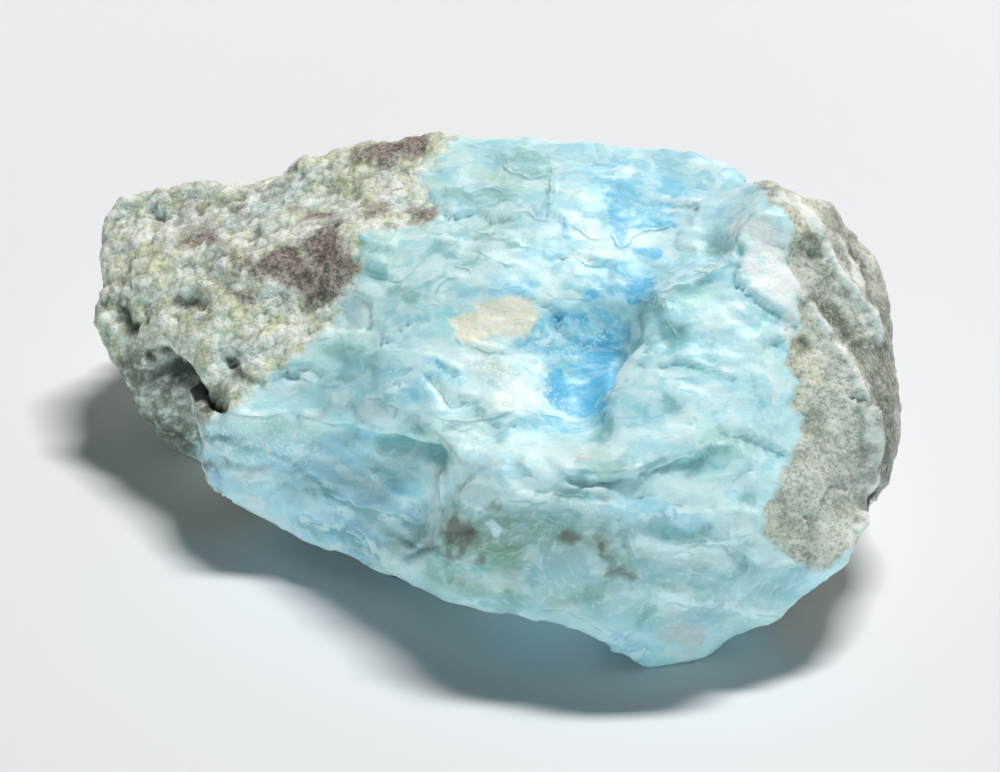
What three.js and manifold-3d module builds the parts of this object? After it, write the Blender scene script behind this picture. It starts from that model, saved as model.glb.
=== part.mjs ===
// Raw larimar: one rough lump of blue pectolite with a grey basalt rind on its right end and a
// granular, greenish crust on its left end. It lies on a flat break in its underside.
//
// Units are millimetres. +X runs along the stone, from the crusted lobe to the basalt end, +Y runs
// from the overhanging front edge to the back, and +Z is up. The origin is on the table, under the
// middle of the stone's box.

import * as THREE from 'three';
import Module from 'manifold-3d';
import { ImprovedNoise } from 'three/addons/math/ImprovedNoise.js';
import { TessellateModifier } from 'three/addons/modifiers/TessellateModifier.js';
import { mergeVertices } from 'three/addons/utils/BufferGeometryUtils.js';

const wasm = await Module();
wasm.setup();

// ---- Driving dimensions ------------------------------------------------------------------------

const LENGTH = 85;          // crusted lobe to basalt end
const DEPTH = 66;           // front tip to the back of the lobe
const HEIGHT = 38;          // table to the peak of the right block

const FACET = 2.8;          // longest edge of a facet
const FACET_ROUNDS = 14;    // enough halvings for every edge to come down to FACET
const WELD = 0.001;         // points closer than this are one point

const EDGE_REACH = 3.5;     // how far from a broken edge the surface stays crisp
const SMOOTH_ROUNDS = 3;    // passes that ease the facets between the broken edges
const SMOOTH_STEP = 0.55;   // share of the way to the neighbours' middle in one pass

// Relief: the size of one wave or knob and its height, with a seed that picks its own noise
const SWELL = { size: 13, height: 0.7, seed: 1.7 };    // slow waves over the whole stone
const RIDGES = { size: 6, height: 0.45, seed: 5.1 };   // crested ripples of the blue pectolite
const LUMPS = { size: 3.4, height: 0.75, seed: 9.4 };  // knobs of the granular crust
const PITS = { size: 5, height: 0.9, seed: 13.8 };     // hollows between those knobs
const GRIT = { size: 2.6, height: 0.35, seed: 21.2 };  // grain of the basalt rind
const RIDGE_SHARPNESS = 2;  // how steeply a ripple falls away from its crest
const RIDGE_LEVEL = 0.6;    // share of its height that a crest stands over the smooth form
const PIT_START = 0.3;      // noise above this digs a pit, which is at full depth at twice this

// Flat flakes broken off, each with its own level and its own tilt
const CHIPS = { size: 11, step: 0.6, tilt: 0.17, jitter: 0.4 };
const CHIPS_ON_TOP = 0.3;   // how much of their height they keep on the top and the front
const BACK_START = 51;      // y where the top turns into the rougher back

const END_REACH = 5;        // the relief dies away this close to the two ends of the rails

const CRUST_END = -15;      // the crust runs from the left end to about this x, at MIDDLE_Y
const CRUST_SLANT = 0.55;   // and its edge swings this much to the right for each mm of y
const MIDDLE_Y = 30;
const RIND_START = 27;      // the basalt runs from about this x to the right end
const ZONE_BLEND = 5;       // width over which one texture gives way to the next

// ---- Landmarks ---------------------------------------------------------------------------------

// Each rail is a line over the stone from its left end to its right end. The rails are in order
// around the stone, from the lower front edge, up the front, over the top, down the back and
// along the underside. A corner, ledge, crest or hollow is where a rail has a point of its own.

const LEFT_END = [-44, 45, 16];
const RIGHT_END = [42, 23.5, 16];

const rails = {
  // Lower front edge: up under the lobe, then the overhanging blade down to the front tip
  sill: [
    [-43, 39, 12], [-40, 35.5, 8.5], [-38.5, 34.5, 5], [-36.5, 34, 1], [-34, 34, -0.5],
    [-27.5, 27, 3.5], [-31.5, 22.5, 6.5], [-29.5, 21, 5], [-26, 19, 4], [-21, 16.5, 3],
    [-15.5, 13.5, 2.5], [-13.5, 12, 2.5], [-8, 8, 4], [-4, 3, 5.5], [4, 0, 5.5], [10, -0.5, 3],
    [15, -0.5, 0], [18.5, 0, 0], [21, 0.5, 1], [24.5, 2, 3], [28, 2, 4.5], [30, 2.5, 7],
    [33.5, 3.5, 9], [35.5, 7, 10], [38, 15, 7], [41, 16.5, 8],
  ],
  lowerFace: [
    [-42, 38.5, 12.5], [-39.5, 35, 10], [-37, 34, 7.5], [-33.5, 34.5, 4.5], [-32.5, 34.5, 3.5],
    [-30, 28, 6.5], [-32, 22, 9], [-28, 20.5, 8], [-20.5, 16.5, 7.5], [-16, 14, 6.5],
    [-14, 11.5, 5.5], [-10.5, 7.5, 7], [-7, 5, 9.5], [-2, 1.5, 11], [4.5, -0.5, 11],
    [10, -1.5, 10], [15.5, -1, 9], [20, 0, 8.5], [24.5, 1, 6.5], [28, 1.5, 7.5], [30, 2, 10],
    [33.5, 4, 11], [36, 8, 11.5], [39.5, 15, 9.5],
  ],
  upperFace: [
    [-40.5, 38.5, 13.5], [-38, 35, 12], [-35, 34.5, 9.5], [-34, 35, 7.5], [-32.5, 33.5, 7.5],
    [-32, 27, 10.5], [-31, 22.5, 12], [-26, 20, 12.5], [-20.5, 18.5, 11.5], [-15.5, 15.5, 10.5],
    [-11, 11.5, 9.5], [-9, 9.5, 9.5], [-7.5, 5.5, 11.5], [-4.5, 4, 15.5], [0, 2.5, 17.5],
    [6, 1.5, 18.5], [10.5, 0, 17.5], [14.5, -0.5, 16], [19.5, -0.5, 15.5], [23.5, 0.5, 15],
    [26, 1.5, 14], [29.5, 4, 14.5], [33, 6.5, 14.5], [36, 9.5, 13.5], [38.5, 14.5, 12.5],
  ],
  // Top edge of the left block, which breaks off at a step, then the brow of the right block
  brow: [
    [-40, 38.5, 14], [-37, 33.5, 14], [-34, 29.5, 14], [-32.5, 25.5, 14], [-30, 22.5, 14.5],
    [-28, 22.5, 15.5], [-25, 20.5, 15.5], [-20.5, 20, 15.5], [-17, 19.5, 15.5], [-11.5, 16.5, 15.5],
    [-7, 13, 15.5], [-5.5, 11.5, 17], [-4.5, 6.5, 21.5], [1, 5, 21.5], [6, 3.5, 21], [10, 2.5, 20],
    [13.5, 2, 19], [18.5, 1.5, 17.5], [23, 2, 18], [26, 4.5, 18], [29.5, 6.5, 18.5],
    [33.5, 9.5, 18], [37, 11.5, 16.5], [38.5, 16, 15],
  ],
  lip: [
    [-40, 39, 15], [-36, 33, 15.5], [-32.5, 29, 15.5], [-29, 24.5, 15.5], [-27, 23, 15.5],
    [-24.5, 21.5, 16], [-20.5, 20.5, 16], [-16, 18, 17], [-11, 14.5, 19], [-6, 10, 21.5],
    [0, 8.5, 22], [4.5, 7, 22], [9, 5, 22], [13, 3.5, 22], [18, 4.5, 22.5], [22.5, 6, 23],
    [26, 7.5, 22.5], [29.5, 10, 21.5], [34.5, 12.5, 20], [37, 13.5, 19], [38.5, 18, 18],
  ],
  // Front of the top, with the step up onto the right block
  shelf: [
    [-39.5, 39.5, 16.5], [-35, 33.5, 16.5], [-29, 29, 18], [-23, 25, 18.5],
    [-16.5, 21, 19.5], [-10, 16.5, 21.5], [-4, 13.5, 22.5], [2, 13, 22.5], [7, 12.5, 21.5],
    [9, 12, 21.5], [10.5, 12, 24], [14.5, 10, 25.5], [20.5, 10, 26.5], [26, 12.5, 27],
    [29.5, 14, 25], [33.5, 15.5, 24], [36, 16, 23], [38.5, 19.5, 20.5],
  ],
  // Through the deep blue hollow and up its steep right wall
  hollow: [
    [-41, 42.5, 17], [-36, 38.5, 18.5], [-30, 34.5, 20.5], [-22.5, 31, 21.5], [-16, 29, 23.5],
    [-10, 25, 26], [-4, 22, 27], [2, 20.5, 26.5], [7, 19, 24.5], [10, 18, 23.5], [12, 17, 25.5],
    [14, 17, 28], [18.5, 15, 29.5], [25, 17.5, 30], [30, 19, 29], [33, 19, 27], [35, 19, 25.5],
    [38.5, 22, 23.5], [41, 24.5, 17.5],
  ],
  // Middle of the top, then the crest of the right block
  crest: [
    [-44, 48, 19], [-36.5, 44.5, 21], [-28.5, 40, 23.5], [-21, 36, 26.5], [-14.5, 33.5, 28],
    [-7, 30.5, 29], [0, 27.5, 30], [6, 25.5, 29.5], [11, 24, 29], [14, 23.5, 29], [15, 21, 31],
    [19, 22.5, 32.5], [23.5, 22.5, 33.5], [29, 23, 34], [30, 23, 32.5], [32, 22.5, 30.5],
    [34, 22.5, 29], [38, 23.5, 25.5], [41, 26, 21],
  ],
  // Back of the top, then up and over the peak
  peak: [
    [-44.5, 51, 20], [-38, 49.5, 21.5], [-30.5, 48, 23.5], [-22.5, 44.5, 26.5], [-13.5, 41.5, 29],
    [-6.5, 39, 30.5], [1, 36.5, 31.5], [6, 35.5, 32.5], [12.5, 32, 32], [17.5, 31, 32],
    [21, 28, 31.5], [22, 27, 32.5], [23.5, 24.5, 34], [25.5, 26, 37], [27.5, 26.5, 38],
    [29, 26, 37], [30.5, 25, 34.5], [33, 24, 31], [36, 25.5, 28.5], [40, 28.5, 24.5],
  ],
  rim: [
    [-44.5, 53, 21], [-40, 53.5, 23], [-32.5, 52.5, 24.5], [-28.5, 51, 24.5], [-26, 50.5, 24.5],
    [-21.5, 50.5, 28.5], [-16.5, 50, 30.5], [-7.5, 49, 33], [4, 46, 34], [10.5, 44, 34.5],
    [20, 41, 35], [24.5, 39, 35], [25, 35.5, 35], [27.5, 31.5, 37], [28.5, 28.5, 38],
    [30.5, 30, 37], [34.5, 32.5, 34.5], [38.5, 33, 30], [40, 31, 25],
  ],
  backTop: [
    [-42, 57, 14], [-37, 59.5, 14.5], [-29, 60, 15.5], [-20, 60, 20.5], [-12, 56, 25],
    [-3, 56, 25.5], [5, 54, 27], [12, 50, 28.5], [18, 48, 28], [25, 42.5, 30.5], [31, 37.5, 29.5],
    [36, 34.5, 26], [40, 33, 22],
  ],
  backMiddle: [
    [-41, 59, 8.5], [-33, 63.5, 12], [-24, 62, 13], [-18, 63.5, 14], [-9, 60, 16], [-2, 61.5, 18],
    [6, 57, 15], [13, 53, 19], [20, 51.5, 17], [26, 45, 15], [33, 41, 20], [38, 36.5, 15],
  ],
  backFoot: [
    [-39, 57, 3.5], [-28, 61, 3], [-17, 63, 5], [-6, 56, 4], [6, 58, 7], [15, 50, 4], [24, 47, 8],
    [31, 39, 6], [36, 35, 9], [39, 31, 11],
  ],
  // Underside: what lies below the table here is the break that the stone rests on
  baseBack: [
    [-36, 53, -1], [-27, 56, -1], [-14, 57, -1], [-3, 52, -1], [8, 49, -1], [17, 44, -1],
    [25, 38, -1], [32, 32, 1.5], [38, 27, 6],
  ],
  baseMiddle: [
    [-38, 46, 2], [-32, 47, -1], [-16, 42, -1], [0, 36, -1], [12, 30, -1], [22, 24, -1],
    [31, 20, 1], [37, 23, 4.5],
  ],
  baseFront: [
    [-38, 40, 3], [-34, 40, -1], [-24, 34, -1], [-12, 26, -1], [0, 18, -1], [10, 9, -1],
    [17, 3, -1], [24, 6, 0], [31, 11, 3], [37, 19, 5],
  ],
};

// Broken edges that stay crisp: stretches of a rail, or lines that cross from rail to rail
const crispEdges = [
  // Blade along the front, top of the left block, brow of the right block
  rails.sill.slice(6, 24),
  rails.brow.slice(3, 12),
  rails.brow.slice(11, 23),
  // Corner between the two blocks
  [rails.upperFace[12], rails.brow[12], rails.lip[9]],
  // Right wall of the hollow, then up to the peak and down its far side
  [rails.shelf[9], rails.hollow[10], rails.crest[10], rails.crest[11], rails.peak[12]],
  rails.peak.slice(11, 19),
  // Edge between the top and the back
  rails.rim.slice(4, 15),
  // The two arrises that run down the basalt from the peak
  [rails.peak[14], rails.crest[14], rails.hollow[15], rails.shelf[16], rails.lip[19],
    rails.brow[22], rails.upperFace[23], rails.lowerFace[22]],
  [rails.rim[14], rails.peak[16], rails.peak[17], rails.crest[17], rails.hollow[17]],
  // Upright arrises of the back
  [rails.rim[6], rails.backTop[3], rails.backMiddle[3], rails.backFoot[2]],
  [rails.rim[8], rails.backTop[6], rails.backMiddle[5], rails.backFoot[4]],
  [rails.rim[10], rails.backTop[8], rails.backMiddle[8], rails.backFoot[6]],
  [rails.rim[16], rails.backTop[10], rails.backMiddle[10], rails.backFoot[8]],
];

// ---- Surface over the rails --------------------------------------------------------------------

// Triangles between two neighbouring rails, always along the shorter of the two diagonals
function stitch(points, lower, upper) {
  const triangles = [];
  const gap = (a, b) => points[a].distanceTo(points[b]);
  let i = 0;
  let j = 0;
  while (i < lower.length - 1 || j < upper.length - 1) {
    const lowerIsDone = i === lower.length - 1;
    const upperIsDone = j === upper.length - 1;
    const stepLower = !lowerIsDone
      && (upperIsDone || gap(lower[i + 1], upper[j]) < gap(upper[j + 1], lower[i]));
    const next = stepLower ? lower[i + 1] : upper[j + 1];
    triangles.push([lower[i], next, upper[j]]);
    if (stepLower) i += 1;
    else j += 1;
  }
  return triangles.filter(([a, b, c]) => a !== b && b !== c && c !== a);
}

// One closed skin: every rail runs from the left end to the right end, and the last meets the first
function skinOverRails() {
  const points = [new THREE.Vector3(...LEFT_END), new THREE.Vector3(...RIGHT_END)];
  const lines = Object.values(rails).map((rail) => {
    const line = rail.map((landmark) => points.push(new THREE.Vector3(...landmark)) - 1);
    return [0, ...line, 1];
  });
  const triangles = lines.flatMap((line, n) => stitch(points, line, lines[(n + 1) % lines.length]));
  const geometry = new THREE.BufferGeometry().setFromPoints(points);
  geometry.setIndex(triangles.flat());
  return geometry;
}

// ---- Relief ------------------------------------------------------------------------------------

const perlin = new ImprovedNoise();

// Noise of one kind of relief, from -1 to 1
function noiseAt(point, { size, seed }) {
  return perlin.noise(point.x / size + seed, point.y / size - seed, point.z / size + seed);
}

function crustShare(point) {
  const straightened = point.x - CRUST_SLANT * (point.y - MIDDLE_Y);
  return 1 - THREE.MathUtils.smoothstep(straightened, CRUST_END - ZONE_BLEND, CRUST_END);
}

function rindShare(point) {
  return THREE.MathUtils.smoothstep(point.x, RIND_START, RIND_START + ZONE_BLEND);
}

// A number from -1 to 1 that looks random, and is always the same for the same cell and channel
const SCATTER_DIRECTION = new THREE.Vector3(12.99, 78.23, 37.72);
const SCATTER_CHANNEL = 4.1;
const SCATTER_SPREAD = 43758.5;

function scatter(cell, channel) {
  const phase = cell.dot(SCATTER_DIRECTION) + channel * SCATTER_CHANNEL;
  const spread = SCATTER_SPREAD * Math.sin(phase);
  return 2 * (spread - Math.floor(spread)) - 1;
}

// Height of the flake that a point lies on: flakes are the cells around scattered centres
function chipHeight(point) {
  const scaled = point.clone().divideScalar(CHIPS.size);
  const home = scaled.clone().floor();
  let nearest = Infinity;
  let height = 0;
  for (let n = 0; n < 27; n += 1) {
    const offset = new THREE.Vector3(n % 3 - 1, Math.floor(n / 3) % 3 - 1, Math.floor(n / 9) - 1);
    const cell = home.clone().add(offset);
    const jitter = new THREE.Vector3(scatter(cell, 1), scatter(cell, 2), scatter(cell, 3));
    const centre = cell.clone().addScalar(0.5).addScaledVector(jitter, CHIPS.jitter);
    const away = scaled.clone().sub(centre);
    if (away.length() < nearest) {
      nearest = away.length();
      const slope = new THREE.Vector3(scatter(cell, 4), scatter(cell, 5), scatter(cell, 6));
      height = CHIPS.step * scatter(cell, 7) + CHIPS.tilt * CHIPS.size * slope.dot(away);
    }
  }
  return height;
}

function endShare(point) {
  const distances = [LEFT_END, RIGHT_END].map((end) => point.distanceTo(new THREE.Vector3(...end)));
  return Math.min(...distances, END_REACH) / END_REACH;
}

function chipShare(point) {
  const back = THREE.MathUtils.smoothstep(point.y, BACK_START, BACK_START + ZONE_BLEND);
  return THREE.MathUtils.lerp(CHIPS_ON_TOP, 1, back);
}

// Height of the relief over the smooth form at a point
function relief(point) {
  const crust = crustShare(point);
  const rind = rindShare(point);
  const blue = 1 - Math.max(crust, rind);
  const swell = SWELL.height * noiseAt(point, SWELL);
  const chips = chipShare(point) * chipHeight(point);
  const crest = RIDGE_LEVEL - RIDGE_SHARPNESS * Math.abs(noiseAt(point, RIDGES));
  const pit = THREE.MathUtils.clamp(noiseAt(point, PITS) / PIT_START - 1, 0, 1);
  const knobs = LUMPS.height * noiseAt(point, LUMPS) - PITS.height * pit;
  const grit = GRIT.height * noiseAt(point, GRIT);
  const height = swell + chips + blue * RIDGES.height * crest + crust * knobs + rind * grit;
  return height * endShare(point);
}

// ---- Working on the points of a mesh -----------------------------------------------------------

function neighboursOf(geometry) {
  const neighbours = Array.from({ length: geometry.attributes.position.count }, () => new Set());
  const index = geometry.index.array;
  for (let t = 0; t < index.length; t += 3) {
    for (let k = 0; k < 3; k += 1) {
      const here = index[t + k];
      neighbours[here].add(index[t + (k + 1) % 3]);
      neighbours[here].add(index[t + (k + 2) % 3]);
    }
  }
  return neighbours;
}

// 0 on a broken edge, 1 where the surface is EDGE_REACH or more away from every one
function edgeSoftness(point) {
  const segment = new THREE.Line3();
  const nearest = new THREE.Vector3();
  let distance = EDGE_REACH;
  for (const edge of crispEdges) {
    for (let n = 0; n + 1 < edge.length; n += 1) {
      segment.start.fromArray(edge[n]);
      segment.end.fromArray(edge[n + 1]);
      segment.closestPointToPoint(point, true, nearest);
      distance = Math.min(distance, nearest.distanceTo(point));
    }
  }
  return distance / EDGE_REACH;
}

// Moves each point to where place(point, n) says, all at once
function movePoints(geometry, place) {
  const position = geometry.attributes.position;
  const moved = [];
  for (let n = 0; n < position.count; n += 1) {
    moved.push(place(new THREE.Vector3().fromBufferAttribute(position, n), n));
  }
  moved.forEach((point, n) => position.setXYZ(n, point.x, point.y, point.z));
}

function easeFacets(geometry) {
  const neighbours = neighboursOf(geometry);
  const position = geometry.attributes.position;
  const softness = [];
  movePoints(geometry, (point) => {
    softness.push(edgeSoftness(point));
    return point;
  });
  for (let round = 0; round < SMOOTH_ROUNDS; round += 1) {
    movePoints(geometry, (point, n) => {
      const middle = new THREE.Vector3();
      for (const m of neighbours[n]) {
        middle.add(new THREE.Vector3().fromBufferAttribute(position, m));
      }
      return point.lerp(middle.divideScalar(neighbours[n].size), SMOOTH_STEP * softness[n]);
    });
  }
}

function raiseRelief(geometry) {
  geometry.computeVertexNormals();
  const normals = geometry.attributes.normal;
  movePoints(geometry, (point, n) => {
    const outwards = new THREE.Vector3().fromBufferAttribute(normals, n);
    return point.addScaledVector(outwards, relief(point));
  });
  geometry.deleteAttribute('normal');
}

// ---- Solids ------------------------------------------------------------------------------------

function toSolid(geometry) {
  const bare = geometry.clone();
  bare.deleteAttribute('normal');
  bare.deleteAttribute('uv');
  const merged = mergeVertices(bare, WELD);
  return new wasm.Manifold(new wasm.Mesh({
    numProp: 3,
    vertProperties: new Float32Array(merged.attributes.position.array),
    triVerts: new Uint32Array(merged.index.array),
  }));
}

function toGeometry(solid) {
  const mesh = solid.getMesh();
  const geometry = new THREE.BufferGeometry();
  geometry.setAttribute('position', new THREE.BufferAttribute(mesh.vertProperties, 3));
  geometry.setIndex(new THREE.BufferAttribute(mesh.triVerts, 1));
  return geometry;
}

// Everything above the table, which leaves the flat break that the stone rests on
function cutAtTable(geometry) {
  const room = 4 * LENGTH;
  const above = new THREE.BoxGeometry(room, room, room).translate(0, 0, room / 2);
  return toGeometry(toSolid(geometry).intersect(toSolid(above)));
}

// Brings the box to the driving dimensions, with the origin under its middle
function fitToSize(geometry) {
  geometry.computeBoundingBox();
  const box = geometry.boundingBox;
  const size = box.getSize(new THREE.Vector3());
  const middle = box.getCenter(new THREE.Vector3());
  geometry.translate(-middle.x, -middle.y, -box.min.z);
  geometry.scale(LENGTH / size.x, DEPTH / size.y, HEIGHT / size.z);
  return geometry;
}

function rawStone() {
  const skin = new TessellateModifier(FACET, FACET_ROUNDS).modify(skinOverRails());
  skin.deleteAttribute('normal');
  skin.deleteAttribute('uv');
  const stone = mergeVertices(skin, WELD);
  easeFacets(stone);
  raiseRelief(stone);
  return fitToSize(cutAtTable(stone));
}

const pectolite = new THREE.MeshStandardMaterial({
  color: 0x9fd3da,
  roughness: 0.55,
  metalness: 0,
});

const rawLarimar = new THREE.Mesh(rawStone(), pectolite);
rawLarimar.name = 'raw_larimar';

const specimen = new THREE.Group();
specimen.add(rawLarimar);

export default specimen;
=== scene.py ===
"""Raw larimar: one rough lump of pale blue pectolite with a basalt rind and a granular crust.

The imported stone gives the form. Its surface is remeshed finely here, carved with the ledges,
cracks, flakes and grains of broken pectolite, marked with patches, and given a node material.
Work on points is in millimetres; Blender's objects are in metres.
"""

import itertools
import math

import bpy
import numpy as np
from mathutils import Matrix, Vector
from mathutils.bvhtree import BVHTree


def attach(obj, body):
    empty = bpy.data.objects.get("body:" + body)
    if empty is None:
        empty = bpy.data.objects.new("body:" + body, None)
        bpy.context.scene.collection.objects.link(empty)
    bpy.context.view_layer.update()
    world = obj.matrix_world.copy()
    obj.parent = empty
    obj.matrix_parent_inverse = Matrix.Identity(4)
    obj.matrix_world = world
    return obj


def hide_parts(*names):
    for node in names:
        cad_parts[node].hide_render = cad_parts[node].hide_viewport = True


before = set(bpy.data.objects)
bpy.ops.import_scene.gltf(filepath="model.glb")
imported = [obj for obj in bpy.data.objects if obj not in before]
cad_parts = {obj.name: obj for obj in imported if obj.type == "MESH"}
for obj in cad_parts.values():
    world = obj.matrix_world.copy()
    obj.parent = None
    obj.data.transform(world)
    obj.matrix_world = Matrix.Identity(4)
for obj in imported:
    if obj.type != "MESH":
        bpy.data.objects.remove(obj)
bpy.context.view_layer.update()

MM = 0.001

# ---- The photograph's view -------------------------------------------------------------------

FRAME_WIDTH = 1000
FRAME_HEIGHT = 772
PIXELS_PER_MM = 10                      # at the camera's target
CAMERA_TARGET = np.array([1.22, -15.52, 22.85])
CAMERA_ELEVATION = math.radians(35)
CAMERA_DISTANCE = 320
SENSOR_WIDTH = 36
LENS = SENSOR_WIDTH * CAMERA_DISTANCE * PIXELS_PER_MM / FRAME_WIDTH

CAMERA_BACKWARDS = np.array([0, -math.cos(CAMERA_ELEVATION), math.sin(CAMERA_ELEVATION)])
CAMERA_RIGHT = np.array([1.0, 0, 0])
CAMERA_UP = np.cross(CAMERA_BACKWARDS, CAMERA_RIGHT)
CAMERA_PLACE = CAMERA_TARGET + CAMERA_DISTANCE * CAMERA_BACKWARDS


def photo_pixels(points):
    """Where points fall in the photograph's frame, as columns u and v."""
    away = points - CAMERA_PLACE
    scale = PIXELS_PER_MM * CAMERA_DISTANCE / (away @ -CAMERA_BACKWARDS)
    u = FRAME_WIDTH / 2 + scale * (away @ CAMERA_RIGHT)
    v = FRAME_HEIGHT / 2 - scale * (away @ CAMERA_UP)
    return np.stack([u, v], axis=1)


# ---- Noise -----------------------------------------------------------------------------------

CUBE_CORNERS = list(itertools.product((0, 1), repeat=3))
NEARBY_CELLS = list(itertools.product((-1, 0, 1), repeat=3))
HASH_PRIMES = (73856093, 19349663, 83492791, 50331653)
HASH_MIXER = 0x45D9F3B
HASH_MASK = 0xFFFFFFFF
WAVE_GAIN = 1.6                         # brings gradient noise to about -1 to 1


def scatter(cells, channel):
    """Numbers from 0 to 1 that look random and are always the same for a cell and a channel."""
    bits = channel * HASH_PRIMES[3] + 1
    for axis in range(3):
        bits = bits ^ (cells[:, axis] * HASH_PRIMES[axis])
    bits = bits & HASH_MASK
    for _ in range(2):
        bits = ((bits ^ (bits >> 16)) * HASH_MIXER) & HASH_MASK
    return (bits ^ (bits >> 16)) / HASH_MASK


def scatter_vectors(cells, channel):
    return np.stack([scatter(cells, 3 * channel + axis) for axis in range(3)], axis=1)


def wave(points, size, seed):
    """Gradient noise from about -1 to 1, with waves of this size."""
    scaled = points / size
    home = np.floor(scaled).astype(np.int64)
    local = scaled - home
    fade = local ** 3 * (local * (6 * local - 15) + 10)
    total = np.zeros(len(points))
    for corner in CUBE_CORNERS:
        slope = 2 * scatter_vectors(home + corner, seed) - 1
        share = np.where(corner, fade, 1 - fade).prod(axis=1)
        total += share * ((local - corner) * slope).sum(axis=1)
    return WAVE_GAIN * total


def clouds(points, size, seed, octaves=3):
    """Waves of this size with finer waves on them, each half as high and half as wide."""
    total = sum(wave(points, size / 2 ** n, seed + n) / 2 ** n for n in range(octaves))
    return total / (2 - 0.5 ** (octaves - 1))


def wander(points, size, seed):
    """A smooth offset in each direction, from about -1 to 1."""
    return np.stack([wave(points, size, seed + axis) for axis in range(3)], axis=1)


def cells(points, size, seed):
    """The cell that each point is in: distance to its centre and to the next one, both as a
    share of size, its offset from the centre, and the cell's own name for scatter()."""
    scaled = points / size
    home = np.floor(scaled).astype(np.int64)
    nearest = np.full(len(points), np.inf)
    second = np.full(len(points), np.inf)
    away = np.zeros_like(scaled)
    owner = np.zeros_like(home)
    for offset in NEARBY_CELLS:
        cell = home + offset
        step = scaled - (cell + scatter_vectors(cell, seed))
        distance = np.sqrt((step ** 2).sum(axis=1))
        closer = distance < nearest
        second = np.where(closer, nearest, np.minimum(second, distance))
        nearest = np.where(closer, distance, nearest)
        away[closer] = step[closer]
        owner[closer] = cell[closer]
    return nearest, second, away, owner


def smoothstep(value, start, end):
    t = np.clip((value - start) / (end - start), 0, 1)
    return t * t * (3 - 2 * t)


# ---- The fine skin of the stone --------------------------------------------------------------

VOXEL = 0.42 * MM                       # size of the skin's faces


class Skin:
    """The points of a mesh of quads, in millimetres, with what lies next to what."""

    def __init__(self, mesh):
        self.mesh = mesh
        count = len(mesh.vertices)
        self.points = np.empty(count * 3)
        mesh.vertices.foreach_get("co", self.points)
        self.points = self.points.reshape(-1, 3) / MM
        self.edges = np.empty(len(mesh.edges) * 2, dtype=np.int64)
        mesh.edges.foreach_get("vertices", self.edges)
        self.edges = self.edges.reshape(-1, 2)
        self.faces = np.array([tuple(face.vertices) for face in mesh.polygons])
        self.degree = np.bincount(self.edges.ravel(), minlength=count)
        self.face_count = np.bincount(self.faces.ravel(), minlength=count)
        self.face_pairs = self.find_face_pairs()

    def find_face_pairs(self):
        """Pairs of faces that share an edge."""
        rolled = np.roll(self.faces, -1, axis=1)
        low = np.minimum(self.faces, rolled).ravel()
        high = np.maximum(self.faces, rolled).ravel()
        key = low * len(self.points) + high
        order = np.argsort(key, kind="stable")
        same = key[order][1:] == key[order][:-1]
        face = order // self.faces.shape[1]
        return np.stack([face[:-1][same], face[1:][same]], axis=1)

    def add_up(self, index, values, count):
        columns = [np.bincount(index, column, minlength=count) for column in values.T]
        return np.stack(columns, axis=1)

    def neighbours_mean(self, values):
        """For each point, the mean of its neighbours' values (one column each)."""
        a, b = self.edges.T
        count = len(self.points)
        total = self.add_up(a, values[b], count) + self.add_up(b, values[a], count)
        return total / self.degree[:, None]

    def blur(self, values, rounds):
        """values, one number for each point, spread over the skin."""
        column = values[:, None].astype(float)
        for _ in range(rounds):
            column = 0.5 * column + 0.5 * self.neighbours_mean(column)
        return column[:, 0]

    def blurred_points(self, rounds):
        points = self.points
        for _ in range(rounds):
            points = 0.5 * points + 0.5 * self.neighbours_mean(points)
        return points

    def face_normals(self):
        a, b, c, d = (self.points[self.faces[:, k]] for k in range(4))
        normals = np.cross(c - a, d - b)
        return normals / np.maximum(np.linalg.norm(normals, axis=1, keepdims=True), 1e-12)

    def normals(self):
        """Point normals, a little evened out so that what is raised along them stays clean."""
        on_faces = self.face_normals()
        total = np.zeros_like(self.points)
        for k in range(4):
            total += self.add_up(self.faces[:, k], on_faces, len(self.points))
        for _ in range(2):
            total = total + self.neighbours_mean(total)
        return total / np.maximum(np.linalg.norm(total, axis=1, keepdims=True), 1e-12)

    def raise_by(self, height):
        self.points = self.points + self.normals() * height[:, None]

    def store(self):
        self.mesh.vertices.foreach_set("co", (self.points * MM).ravel())
        self.mesh.update()


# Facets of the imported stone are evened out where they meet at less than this; breaks stay crisp
CRISP_ANGLE = math.radians(24)
EASING_ROUNDS = 10
NORMAL_PASSES = 5
MOVING_PASSES = 3


def ease_facets(skin):
    """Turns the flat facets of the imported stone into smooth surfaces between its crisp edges."""
    spread = 2 * (2 * math.sin(CRISP_ANGLE / 2)) ** 2
    a, b = skin.face_pairs.T
    count = len(skin.faces)
    for _ in range(EASING_ROUNDS):
        normals = skin.face_normals()
        for _ in range(NORMAL_PASSES):
            difference = ((normals[a] - normals[b]) ** 2).sum(axis=1)
            share = np.exp(-difference / spread)[:, None]
            total = normals + skin.add_up(a, share * normals[b], count)
            total += skin.add_up(b, share * normals[a], count)
            normals = total / np.linalg.norm(total, axis=1, keepdims=True)
        for _ in range(MOVING_PASSES):
            move_onto_faces(skin, normals)


def move_onto_faces(skin, normals):
    """Moves each point towards the planes of the faces around it."""
    centres = skin.points[skin.faces].mean(axis=1)
    total = np.zeros_like(skin.points)
    for k in range(4):
        corner = skin.faces[:, k]
        height = (normals * (centres - skin.points[corner])).sum(axis=1)
        total += skin.add_up(corner, height[:, None] * normals, len(skin.points))
    skin.points = skin.points + total / skin.face_count[:, None]


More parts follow.
